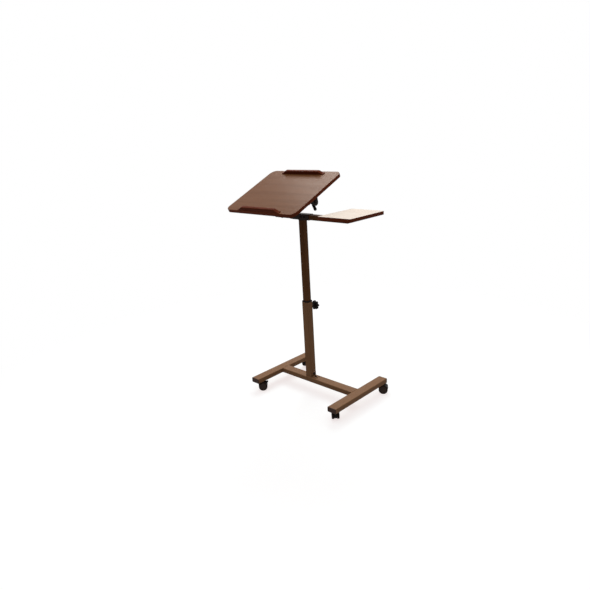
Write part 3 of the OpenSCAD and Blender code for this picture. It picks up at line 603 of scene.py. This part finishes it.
BEAD_RIPPLE = 1.6 * MM
BEAD_LEAST, BEAD_SWELL = 0.94, 0.12
CROSSBAR_BEAD, CROSSBAR_INSET = 1.7 * MM, 1.2 * MM
POST_BEAD, SLEEVE_BEAD, NUT_BEAD = 2.1 * MM, 1.6 * MM, 1.2 * MM
BRACKET_GAP = 1 * MM


def bead(path, radius, up, round_trip=False):
    """A weld bead: a circle carried along a path, whose radius swells once per ripple.

    The radius is the given one times least + swell * |sin(pi * run / ripple)|.
    """
    line = evenly(path, BEAD_RIPPLE / 5, round_trip)
    run = np.append(0, np.cumsum(np.linalg.norm(np.diff(line, axis=0), axis=1)))
    radii = radius * (BEAD_LEAST + BEAD_SWELL * np.abs(np.sin(math.pi * run / BEAD_RIPPLE)))
    points = carried(line, radii, up, 10, round_trip)
    return surface(points, wrap_rows=round_trip, closed_ends=not round_trip)


def ring_path(w, d, r, middle, across, along):
    """A rounded rectangle as a path in space: its two directions are across and along."""
    flat = rounded_outline(w, d, r, 8)
    return np.array(middle) + flat[:, :1] * np.array(across) + flat[:, 1:] * np.array(along)


def make_welds():
    """Beads round the cross tube's ends, the lower post's foot, the upper post's top and the nut."""
    low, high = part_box("crossbar")
    middle = (low + high) / 2
    loops = [bead(ring_path(high.y - low.y - CROSSBAR_INSET, high.z - low.z - CROSSBAR_INSET,
                            TUBE_CORNER, (x, middle.y, middle.z), (0, 1, 0), (0, 0, 1)),
                  CROSSBAR_BEAD, (1, 0, 0), True) for x in (low.x, high.x)]
    add_piece("crossbar_welds", loops, BRONZE_PAINT, "base")

    low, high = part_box("lower_post")
    loop = ring_path(high.x - low.x, high.y - low.y, TUBE_CORNER, (POST.x, POST.y, low.z),
                     (1, 0, 0), (0, 1, 0))
    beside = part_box("post_bracket")[1].y - POST.y + BRACKET_GAP
    open_side = np.array([[high.x, POST.y + s * beside, low.z] for s in (1, -1)])
    path = np.concatenate([open_side[:1], loop, open_side[1:]])
    add_piece("post_foot_weld", [bead(path, POST_BEAD, (0, 0, 1))], BRONZE_PAINT, "base")

    low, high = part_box("upper_post")
    loop = ring_path(high.x - low.x, high.y - low.y, BAR_CORNER, (POST.x, POST.y, high.z),
                     (1, 0, 0), (0, 1, 0))
    add_piece("sleeve_weld", [bead(loop, SLEEVE_BEAD, (0, 0, 1), True)], BLACK_PAINT, "mast")

    low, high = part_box("knob_nut")
    middle = (low + high) / 2
    a = np.arange(6) * math.pi / 3
    corner = (high.x - low.x) / 2
    six = np.column_stack([np.cos(a), 0 * a, np.sin(a)])
    loop = np.array([middle.x, low.y, middle.z]) + corner * six
    add_piece("knob_nut_weld", [bead(loop, NUT_BEAD, (0, 1, 0), True)], BRONZE_PAINT, "base")


# Post collar

COLLAR_SLIDE = 0.3 * MM
COLLAR_PLUG = 0.28 * MM
COLLAR_RIM = 1.4 * MM


def make_collar():
    """The guide on the lower post's top edge: its section is carried round a rounded square.

    Outside it has a groove low down and a rounded rim, and its bore is flared at the top.
    """
    low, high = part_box("post_collar")
    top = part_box("lower_post")[1].z
    wide, rise, deep = high.x - low.x, high.z - top, top - low.z
    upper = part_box("upper_post")
    bore = (upper[1].x - upper[0].x - wide) / 2 + COLLAR_SLIDE
    plug = -TUBE_WALL + COLLAR_PLUG
    section = np.concatenate([
        [[bore, -deep], [plug, -deep], [plug, 0], [0, 0], [0, 1.3 * MM], [-0.7 * MM, 1.6 * MM],
         [-0.7 * MM, 2.2 * MM], [0, 2.6 * MM]],
        arc(-COLLAR_RIM, rise - COLLAR_RIM, COLLAR_RIM, 0, 90),
        [[bore + 0.7 * MM, rise], [bore, rise - 0.9 * MM]],
    ])
    points = stacked(wide, wide, TUBE_CORNER, section) + np.array([POST.x, POST.y, top])
    add_piece("post_collar_moulded", [surface(points, wrap_rows=True)], BLACK_PLASTIC, "base",
              stands_for=("post_collar",))


# Height knob

KNOB_LOBES = 7
KNOB_COLUMNS = 14 * KNOB_LOBES
KNOB_VALLEY = 0.73
KNOB_CAP = 9 * MM
KNOB_NECK = 9 * MM
KNOB_STAR = 18 * MM
KNOB_EDGE, KNOB_LIP = 3.2 * MM, 4.2 * MM


def knob_outline(angle, outer, inner):
    """Radius of the knob's lobed outline: from inner in the valleys to outer on the lobes.

    With c = (1 + cos(lobes * angle)) / 2 it is inner + (outer - inner) * (1 - (1 - c) ** 1.6), so the
    lobes are broad and the valleys are narrow and smooth.
    """
    c = (1 + np.cos(KNOB_LOBES * angle)) / 2
    return inner + (outer - inner) * (1 - (1 - c) ** 1.6)


def make_knob():
    """The star knob: rows of (share of the lobed outline, offset, height along the axis).

    A neck carries a rounded star, and a cap sits in a ring groove on its face. Both ends close on the
    axis.
    """
    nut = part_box("knob_nut")
    low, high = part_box("knob_head")
    place = (Matrix.Translation(JOINT["height_knob_turn"]["pos_m"])
             @ Matrix.Translation((0, nut[1].y - JOINT["height_knob_turn"]["pos_m"][1], 0))
             @ Matrix.Rotation(-math.pi / 2, 4, "X"))
    outer = (high.x - low.x) / 2
    start, end = low.y - nut[1].y, high.y - nut[1].y
    under = end - KNOB_STAR
    edge, lip, neck = KNOB_EDGE, KNOB_LIP, KNOB_NECK
    rows = np.concatenate([
        [[0, 0, start], [0, neck - 0.6 * MM, start], [0, neck, start + 0.6 * MM],
         [0, neck, start + 4 * MM], [0, neck - 0.8 * MM, start + 5 * MM],
         [0, neck - 1.2 * MM, under - 3 * MM], [0, neck + 0.6 * MM, under - 0.8 * MM],
         [0.35, neck * 0.72, under]],
        [[1, -edge, under]],
        np.column_stack([np.ones(5), arc(-edge, under + edge, edge, -72, 0)]),
        np.column_stack([np.ones(7), arc(-lip, end - 0.6 * MM - lip, lip, 0, 90, 7)]),
        [[0.6, 3.0 * MM, end - 0.35 * MM], [0, KNOB_CAP + 1.2 * MM, end - 0.5 * MM],
         [0, KNOB_CAP + 0.5 * MM, end - 1.4 * MM], [0, KNOB_CAP, end - 1.4 * MM],
         [0, KNOB_CAP - 0.3 * MM, end - 0.4 * MM], [0, KNOB_CAP - 1.2 * MM, end - 0.15 * MM],
         [0, KNOB_CAP / 2, end - 0.05 * MM], [0, 0, end]],
    ])
    angle = np.linspace(0, 2 * math.pi, KNOB_COLUMNS, endpoint=False)
    radius = rows[:, :1] * knob_outline(angle, outer, outer * KNOB_VALLEY) + rows[:, 1:2]
    radius = np.maximum(radius, 0)
    points = np.stack([radius * np.cos(angle), radius * np.sin(angle),
                       np.broadcast_to(rows[:, 2:], radius.shape)], 2)
    add_piece("knob_star", [surface(points)], BLACK_PLASTIC, "knob", place,
              ("knob_head",))


# Tilt lever

LEVER_BORE = ROD_R + 0.03 * MM
LEVER_RIM = 1.2 * MM
ARM_REACH, ARM_DROP = 20 * MM, 36 * MM
ARM_R = 5.4 * MM
BALL_R = 7.6 * MM
ROOT_SUNK = 6 * MM
ROOT_ACROSS, ROOT_DEEP = 13 * MM, 9 * MM
GRIP_START = 6 * MM
GRIP_WALL = 1.8 * MM
GRIP_TAPER = 0.3 * MM
GRIP_RIBS, GRIP_RIB = 4, 0.35 * MM


def make_lever():
    """The lever: a hub turned round the rod, and an arm with a moulded grip that ends in a ball.

    The arm's sections are ellipses, whose half axes fall from the wide root to the round arm as half a
    cosine does. The grip narrows towards its ball with the square of the way left, and four shallow
    waves run along it.
    """
    axis = Vector(JOINT["tilt_lever_turn"]["pos_m"])
    low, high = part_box("tilt_lever")
    hub_x = middle_of("clamp_bracket").x
    hub_r, half = high.z - axis.z, hub_x - low.x
    centre = Matrix.Translation((hub_x, axis.y, axis.z))
    end = np.concatenate([[[LEVER_BORE, half - 0.8 * MM], [LEVER_BORE + 0.8 * MM, half]],
                          arc(hub_r - LEVER_RIM, half - LEVER_RIM, LEVER_RIM, 90, 0)])
    grooves = [[hub_r, half * 0.72], [hub_r - 0.8 * MM, half * 0.68], [hub_r - 0.8 * MM, half * 0.60],
               [hub_r, half * 0.56]]
    right = np.concatenate([end, grooves])
    profile = np.concatenate([right, (right * [1, -1])[::-1]])
    hub = surface(turned(profile, 56), wrap_rows=True)
    add_piece("lever_hub", [hub], BLACK_PAINT, "lever",
              centre @ Matrix.Rotation(math.pi / 2, 4, "Y"), ("tilt_lever",))

    length = math.hypot(ARM_REACH, ARM_DROP)
    along = centre @ Matrix.Rotation(math.pi - math.atan2(ARM_REACH, ARM_DROP), 4, "Y")
    root, start = hub_r - ROOT_SUNK, hub_r + GRIP_START
    share = (1 + np.cos(np.linspace(0, math.pi, 14))) / 2
    down = np.linspace(root, start + 0.5 * MM, 14)
    across = np.concatenate([[0], ARM_R + (ROOT_ACROSS - ARM_R) * share, [ARM_R, 0]])
    deep = np.concatenate([[0], ARM_R + (ROOT_DEEP - ARM_R) * share, [ARM_R, 0]])
    height = np.concatenate([[root], down, [length - BALL_R / 2] * 2])
    angle = np.linspace(0, 2 * math.pi, 40, endpoint=False)
    points = np.stack([across[:, None] * np.cos(angle), deep[:, None] * np.sin(angle),
                       height[:, None] * np.ones(len(angle))], 2)
    add_piece("lever_arm", [surface(points)], BLACK_PAINT, "lever", along)

    thin = ARM_R + GRIP_WALL
    meet = math.degrees(math.asin(thin / BALL_R))
    steps = np.linspace(0, 1, 25)
    waves = GRIP_RIB * (1 - np.cos(2 * math.pi * GRIP_RIBS * steps)) / 2
    ribbed = np.column_stack([
        thin + GRIP_TAPER * (1 - steps) ** 2 - waves,
        start + 2.2 * MM + (length - BALL_R - start - 2.2 * MM) * steps])
    grip = np.concatenate([
        [[0, start], [thin + GRIP_TAPER - 0.9 * MM, start], [thin + GRIP_TAPER, start + 0.6 * MM]],
        ribbed, arc(0, length, BALL_R, meet - 90, 90, 14)])
    grip[-1, 0] = 0
    add_piece("lever_grip_ball", [surface(turned(grip, 36))], BLACK_PLASTIC, "lever",
              along, ("lever_grip",))


# Casters

HUB_SPOKES = 6
SPOKE_RISE = 0.8 * MM
AXLE_BORE = 3.05 * MM
TREAD_INNER = 0.78
TREAD_EDGE = 2 * MM
GROOVES = (0.36, 0.64)
GROOVE_CUT = 0.55 * MM
HUB_DISC, HUB_CAP = 2 * MM, 8 * MM
PRESS_FIT = 0.02 * MM


def spokes(radius, angle):
    """Broad low spokes on a wheel's face: their rise times a smooth step of cos(spokes * angle)."""
    rise = np.clip(np.cos(HUB_SPOKES * angle) * 2.2 + 0.4, 0, 1)
    return SPOKE_RISE * rise * rise * (3 - 2 * rise) * np.ones_like(radius)


def make_wheel(corner, side):
    """A wheel in two pieces: a hub disc with spokes over the axle's end, and a grooved tread round it.

    Both are turned about the axle; height runs from the inner face outwards. The node and its body
    have the same name.
    """
    node = f"wheel_{corner}_{side}"
    caster = caster_frame(corner)
    low, high = box_in(node, caster)
    outwards = -1 if side == "a" else 1
    inner = high[1] if outwards < 0 else low[1]
    place = (caster @ Matrix.Translation(((low[0] + high[0]) / 2, inner, (low[2] + high[2]) / 2))
             @ Matrix.Rotation(-outwards * math.pi / 2, 4, "X"))
    radius, width = (high[2] - low[2]) / 2, high[1] - low[1]
    split, edge, disc, cap = radius * TREAD_INNER, TREAD_EDGE, HUB_DISC, HUB_CAP
    seat = split - PRESS_FIT

    grooves = []
    for middle in GROOVES:
        for dx, dz in ((0, -0.7), (-1, -0.45), (-1, 0.45), (0, 0.7)):
            grooves.append([radius + dx * GROOVE_CUT, width * middle + dz * MM])
    tread = np.concatenate([
        [[split, 0.6 * MM], [split + 0.6 * MM, 0]],
        arc(radius - edge, edge, edge, -90, 0, 6), grooves,
        arc(radius - edge, width - edge, edge, 0, 90, 6),
        [[split + 0.6 * MM, width], [split, width - 0.6 * MM]]])
    add_piece(f"{node}_tread", [surface(turned(tread, 72), wrap_rows=True)], TREAD, node,
              place, (node,))

    floor = width - 1.4 * MM
    hub = np.array([
        [0, width - disc, 0], [AXLE_BORE, width - disc, 0], [AXLE_BORE, 0.4 * MM, 0],
        [AXLE_BORE + 0.4 * MM, 0, 0], [7 * MM, 0, 0], [7.6 * MM, 0.8 * MM, 0],
        [split - 1.4 * MM, 0.8 * MM, 0], [split - 0.8 * MM, 0.3 * MM, 0], [seat, 0.3 * MM, 0],
        [seat, width - 0.5 * MM, 0], [split - 0.5 * MM, width - 0.1 * MM, 0],
        [split - 1.2 * MM, width - 0.3 * MM, 0], [split - 1.8 * MM, floor, 0.4],
        [split - 2.6 * MM, floor, 1], [cap + 2.2 * MM, floor, 1], [cap + 1.2 * MM, floor, 0.4],
        [cap + 0.5 * MM, floor, 0], [cap, width - 0.6 * MM, 0], [cap - 0.7 * MM, width - 0.15 * MM, 0],
        [cap / 2, width - 0.02 * MM, 0], [0, width, 0]])
    add_piece(f"{node}_hub", [surface(turned(hub, 72, spokes))], HUB, node, place)


TOE_RIBS = 3
TOE_RIB, TOE_PITCH, TOE_EDGE, TOE_SIDE = 0.6 * MM, 2.3 * MM, 2.2 * MM, 2 * MM


def make_brake(corner):
    """A brake tab: its eased copy, with low ribs across the pad for the toe.

    A rib is a circle carried across the pad, which grows over the first two steps and shrinks over the
    last two.
    """
    node, body = f"brake_tab_{corner}", f"brake_{corner}"
    eased(node, *CAD_FINISH[node], 0.5 * MM)
    caster = caster_frame(corner)
    low, high = box_in(node, caster)
    half = (high[1] - low[1]) / 2 - TOE_SIDE
    radii = TOE_RIB * np.array([0.25, 0.8, 1, 1, 1, 1, 1, 0.8, 0.25])
    ribs = []
    for k in range(TOE_RIBS):
        x = high[0] - (TOE_EDGE + TOE_PITCH * k)
        path = np.column_stack([np.full(9, x), np.linspace(-half, half, 9), np.full(9, high[2])])
        ribs.append(surface(carried(path, radii, (0, 0, 1), 10), closed_ends=True))
    add_piece(f"{node}_ribs", ribs, BLACK_PLASTIC, body, caster)


def make_casters():
    """Wheels of the four casters, and the brake tabs of the front two."""
    for corner in CORNERS:
        for side in SIDES:
            make_wheel(corner, side)
    for corner in BRAKED:
        make_brake(corner)


# Boards

EDGE_ROUND = 0.85 * MM


def strip_section(thickness, height):
    """Closed section of an edge strip: square inside, its two outer corners rounded."""
    return np.concatenate([
        arc(-EDGE_ROUND, height - EDGE_ROUND, EDGE_ROUND, 90, 0),
        arc(-EDGE_ROUND, EDGE_ROUND, EDGE_ROUND, 0, -90),
        [[-thickness, 0], [-thickness, height]],
    ])


def edge_strip(board, strip, radius, place, body):
    """The strip that is glued round a board, carried round the board's outline."""
    low, high = box_in(strip, place)
    thickness = (high - box_in(board, place)[1])[0]
    section = strip_section(thickness, high[2] - low[2])
    middle = (low + high) / 2
    points = stacked(high[0] - low[0], high[1] - low[1], radius, section, 12)
    points = points + np.array([middle[0], middle[1], low[2]])
    add_piece(f"{strip}_rounded", [surface(points, wrap_rows=True)], DARK_EDGE, body,
              place, (strip,))


def make_edge_strips():
    """Both boards' edge strips."""
    edge_strip("desk_board", "desk_edge_band", DESK_CORNER, desk_frame(), "desk")
    edge_strip("side_board", "side_edge_band", SIDE_CORNER, Matrix(), "mast")


# Stops

STOP_FLAT = 210 * MM
STOP_TOE = 3 * MM
STOP_ROUND = 3.2 * MM
STOP_RISE_STEPS, STOP_FLAT_STEPS = 24, 38


def stop_rail(node):
    """A wooden stop: a bar along x whose height follows a half cosine from its toe to its flat top.

    Row k is the section at one x: flat on the board, with its two top corners rounded. The rounding is
    at most two fifths of the height there.
    """
    place = desk_frame()
    low, high = box_in(node, place)
    length, width, height = high - low
    half = length / 2
    rise = (1 - np.cos(np.linspace(0, math.pi, STOP_RISE_STEPS))) / 2
    end_x = np.linspace(half, STOP_FLAT / 2, STOP_RISE_STEPS)
    flat_x = np.linspace(STOP_FLAT / 2, -STOP_FLAT / 2, STOP_FLAT_STEPS + 2)[1:-1]
    x = np.concatenate([[half], end_x, flat_x, -end_x[::-1], [-half]])
    tall = STOP_TOE + (height - STOP_TOE) * rise
    toe = [STOP_TOE * 0.6]
    h = np.concatenate([toe, tall, np.full(STOP_FLAT_STEPS, height), tall[::-1], toe])
    r = np.minimum(STOP_ROUND, 0.4 * h)
    a = np.radians(np.linspace(0, 90, 7))
    y_right = width / 2 - r[:, None] * (1 - np.cos(a))
    z_right = h[:, None] - r[:, None] * (1 - np.sin(a))
    zero = np.zeros((len(x), 1))
    y = np.concatenate([zero + width / 2, y_right, -y_right[:, ::-1], zero - width / 2], 1)
    z = np.concatenate([zero, z_right, z_right[:, ::-1], zero], 1)
    points = np.stack([np.broadcast_to(x[:, None], y.shape), y, z], 2)
    points = points + np.array([(low[0] + high[0]) / 2, (low[1] + high[1]) / 2, low[2]])
    add_piece(f"{node}_rail", [surface(points, closed_ends=True)], DARK_WALNUT, "desk",
              place, (node,))


# End caps of the tubes

CAP_ROUND = 1.3 * MM
CAP_RIM = 5 * MM
CAP_SINK = 0.7 * MM
CAP_PLUG = 8 * MM
CAP_FIT = 0.05 * MM
FOOT_LIP = 3 * MM
BAR_LIP = 2 * MM


def end_cap(node, along, outwards, lip, corner, body):
    """A moulded end cap: a plug in the tube, a lip with a rounded rim and a face sunk inside the rim.

    along is the tube's axis, 0 for X and 1 for Y, and outwards is 1 or -1 on it. The cap is built on
    the tube's end, with z outwards.
    """
    low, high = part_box(node)
    end = (low + high) / 2
    end[along] = (low[along] + lip) if outwards < 0 else (high[along] - lip)
    quarter = math.pi / 2
    turn = (Matrix.Rotation(outwards * quarter, 4, "Y"), Matrix.Rotation(-outwards * quarter, 4, "X"))
    face = Matrix.Translation(end) @ turn[along]
    low, high = box_in(node, face)
    inside, sunk = -TUBE_WALL - CAP_FIT, lip - CAP_SINK
    section = np.concatenate([
        [[inside, -CAP_PLUG], [inside, 0], [0, 0]],
        arc(-CAP_ROUND, lip - CAP_ROUND, CAP_ROUND, 0, 90),
        [[-CAP_RIM, lip], [-CAP_RIM - CAP_SINK / 2, sunk], [-CAP_RIM - 2 * CAP_SINK, sunk]],
    ])
    points = stacked(high[0] - low[0], high[1] - low[1], corner, section)
    add_piece(f"{node}_moulded", [surface(points, closed_ends=True)], CAD_FINISH[node][0], body,
              face, (node,))


def make_end_caps():
    """Caps of the two feet and of the top bar."""
    for corner in CORNERS:
        end_cap(f"foot_cap_{corner}", 1, -1 if corner[0] == "f" else 1, FOOT_LIP, TUBE_CORNER, "base")
    for side, outwards in (("left", -1), ("right", 1)):
        end_cap(f"bar_cap_{side}", 0, outwards, BAR_LIP, BAR_CORNER, "mast")


# Room

WHITE = (1, 1, 1, 1)
FLOOR_HALF = 6.0
FLOOR_COLOUR = (0.38, 0.35, 0.33, 1)
# SHOWN_FLOOR is cool and FLOOR_GLOW warm, and together they show white; where shadow takes away the
# cool part the warm glow is left, so the shadow shows pinkish: painted warm light thrown back from the
# brown paint.
SHOWN_FLOOR = (0.68, 0.95, 1.0, 1)
FLOOR_GLOW = (1.0, 0.90, 0.885, 1)
GLOW_LEVEL = 1.33
GLOW_SHARE = 0.60
WHITE_FROM, WHITE_TO = 0.7, 2.0
SKY_LEVEL = 0.1


def seen_straight(tree):
    """1 for what the camera sees, also mirrored or through glass, and 0 for light on the object."""
    ray = tree.nodes.new("ShaderNodeLightPath").outputs
    mirrored = maths(tree, "MAXIMUM", ray["Is Glossy Ray"], ray["Is Transmission Ray"])
    return maths(tree, "MAXIMUM", ray["Is Camera Ray"], mirrored)


def make_floor():
    """A pale floor that shows white, with the object's soft shadow, and throws back less light.

    What is seen of it is a share of glow and a rest that takes the shadow, which together are white
    where no shadow falls. Away from the object it turns to plain white, so that no horizon shows.
    """
    mesh = bpy.data.meshes.new("floor")
    corners = [(x * FLOOR_HALF, y * FLOOR_HALF, 0) for x, y in ((-1, -1), (1, -1), (1, 1), (-1, 1))]
    mesh.from_pydata(corners, [], [(0, 1, 2, 3)])
    floor = bpy.data.objects.new("floor", mesh)
    bpy.context.scene.collection.objects.link(floor)
    material = bpy.data.materials.new("pale floor")
    material.use_nodes = True
    tree = material.node_tree
    tree.nodes.clear()
    place = tree.nodes.new("ShaderNodeTexCoord").outputs["Object"]
    mottle = noise(tree, place, 3.0, 2.0)
    seen = add(tree, "ShaderNodeBsdfDiffuse", {"Color": SHOWN_FLOOR})
    lit = add(tree, "ShaderNodeBsdfDiffuse",
              {"Color": FLOOR_COLOUR, "Roughness": maths(tree, "MULTIPLY", mottle, 0.2)})
    reach = add(tree, "ShaderNodeVectorMath", {0: place}, operation="LENGTH").outputs["Value"]
    far = steps_between(tree, reach, WHITE_FROM, WHITE_TO)
    level = maths(tree, "ADD", maths(tree, "MULTIPLY", far, 1.0 - GLOW_LEVEL), GLOW_LEVEL)
    glow = add(tree, "ShaderNodeEmission",
               {"Color": blended(tree, far, FLOOR_GLOW, WHITE), "Strength": level})
    share = maths(tree, "ADD", maths(tree, "MULTIPLY", far, 1.0 - GLOW_SHARE), GLOW_SHARE)
    shown = add(tree, "ShaderNodeMixShader", {0: share, 1: seen.outputs[0], 2: glow.outputs[0]})
    whole = add(tree, "ShaderNodeMixShader",
                {0: seen_straight(tree), 1: lit.outputs[0], 2: shown.outputs[0]})
    out = tree.nodes.new("ShaderNodeOutputMaterial")
    tree.links.new(whole.outputs[0], out.inputs["Surface"])
    mesh.materials.append(material)


def make_sky():
    """Even light from all round, which shows as white behind the object and in its gloss."""
    world = bpy.data.worlds.new("studio")
    bpy.context.scene.world = world
    world.use_nodes = True
    tree = world.node_tree
    tree.nodes.clear()
    level = add(tree, "ShaderNodeMapRange",
                {"Value": seen_straight(tree), "To Min": SKY_LEVEL, "To Max": 1.0})
    light = add(tree, "ShaderNodeBackground", {"Color": WHITE, "Strength": level.outputs[0]})
    out = tree.nodes.new("ShaderNodeOutputWorld")
    tree.links.new(light.outputs[0], out.inputs["Surface"])


# Lamps, by name: place, aim, width, depth, watts and colour
LAMPS = {
    "overhead": ((0, 0, 8.0), (0, 0, 0), 13, 13, 655, (1, 1, 1)),
    "back_left": ((-1.5, 1.8, 3.1), (0, 0, 1.0), 1.7, 1.7, 52, (1.0, 0.93, 0.86)),
}


def add_softbox(name, place, aim, width, depth, power, colour):
    """A soft rectangular lamp that looks from its place at its aim."""
    lamp = bpy.data.lights.new(name, "AREA")
    lamp.shape = "RECTANGLE"
    lamp.size, lamp.size_y, lamp.energy, lamp.color = width, depth, power, colour
    box = bpy.data.objects.new(name, lamp)
    box.location = place
    box.rotation_euler = (Vector(aim) - Vector(place)).to_track_quat("-Z", "Y").to_euler()
    bpy.context.scene.collection.objects.link(box)


def make_lamps():
    """A broad soft ceiling of light, and a lamp behind on the left that the desk top mirrors."""
    for name, settings in LAMPS.items():
        add_softbox(name, *settings)


def make_camera():
    """The photograph's camera."""
    data = bpy.data.cameras.new("camera")
    data.lens = CAMERA_LENS
    camera = bpy.data.objects.new("camera", data)
    bpy.context.scene.collection.objects.link(camera)
    foot = Vector((POST.x, POST.y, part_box("crossbar")[1].z))
    camera.matrix_world = (Matrix.Translation(foot + CAMERA_FROM_POST)
                           @ Matrix.Rotation(CAMERA_AZIMUTH, 4, "Z")
                           @ Matrix.Rotation(math.pi / 2 - CAMERA_DROP, 4, "X")
                           @ Matrix.Rotation(CAMERA_ROLL, 4, "Z"))
    bpy.context.scene.camera = camera


bpy.context.scene.view_settings.view_transform = "Standard"
make_camera()
make_sky()
make_floor()
make_lamps()
finish_cad_nodes()
make_edge_strips()
stop_rail("front_stop")
stop_rail("back_stop")
make_end_caps()
make_eased()
make_welds()
make_collar()
make_knob()
make_lever()
make_casters()
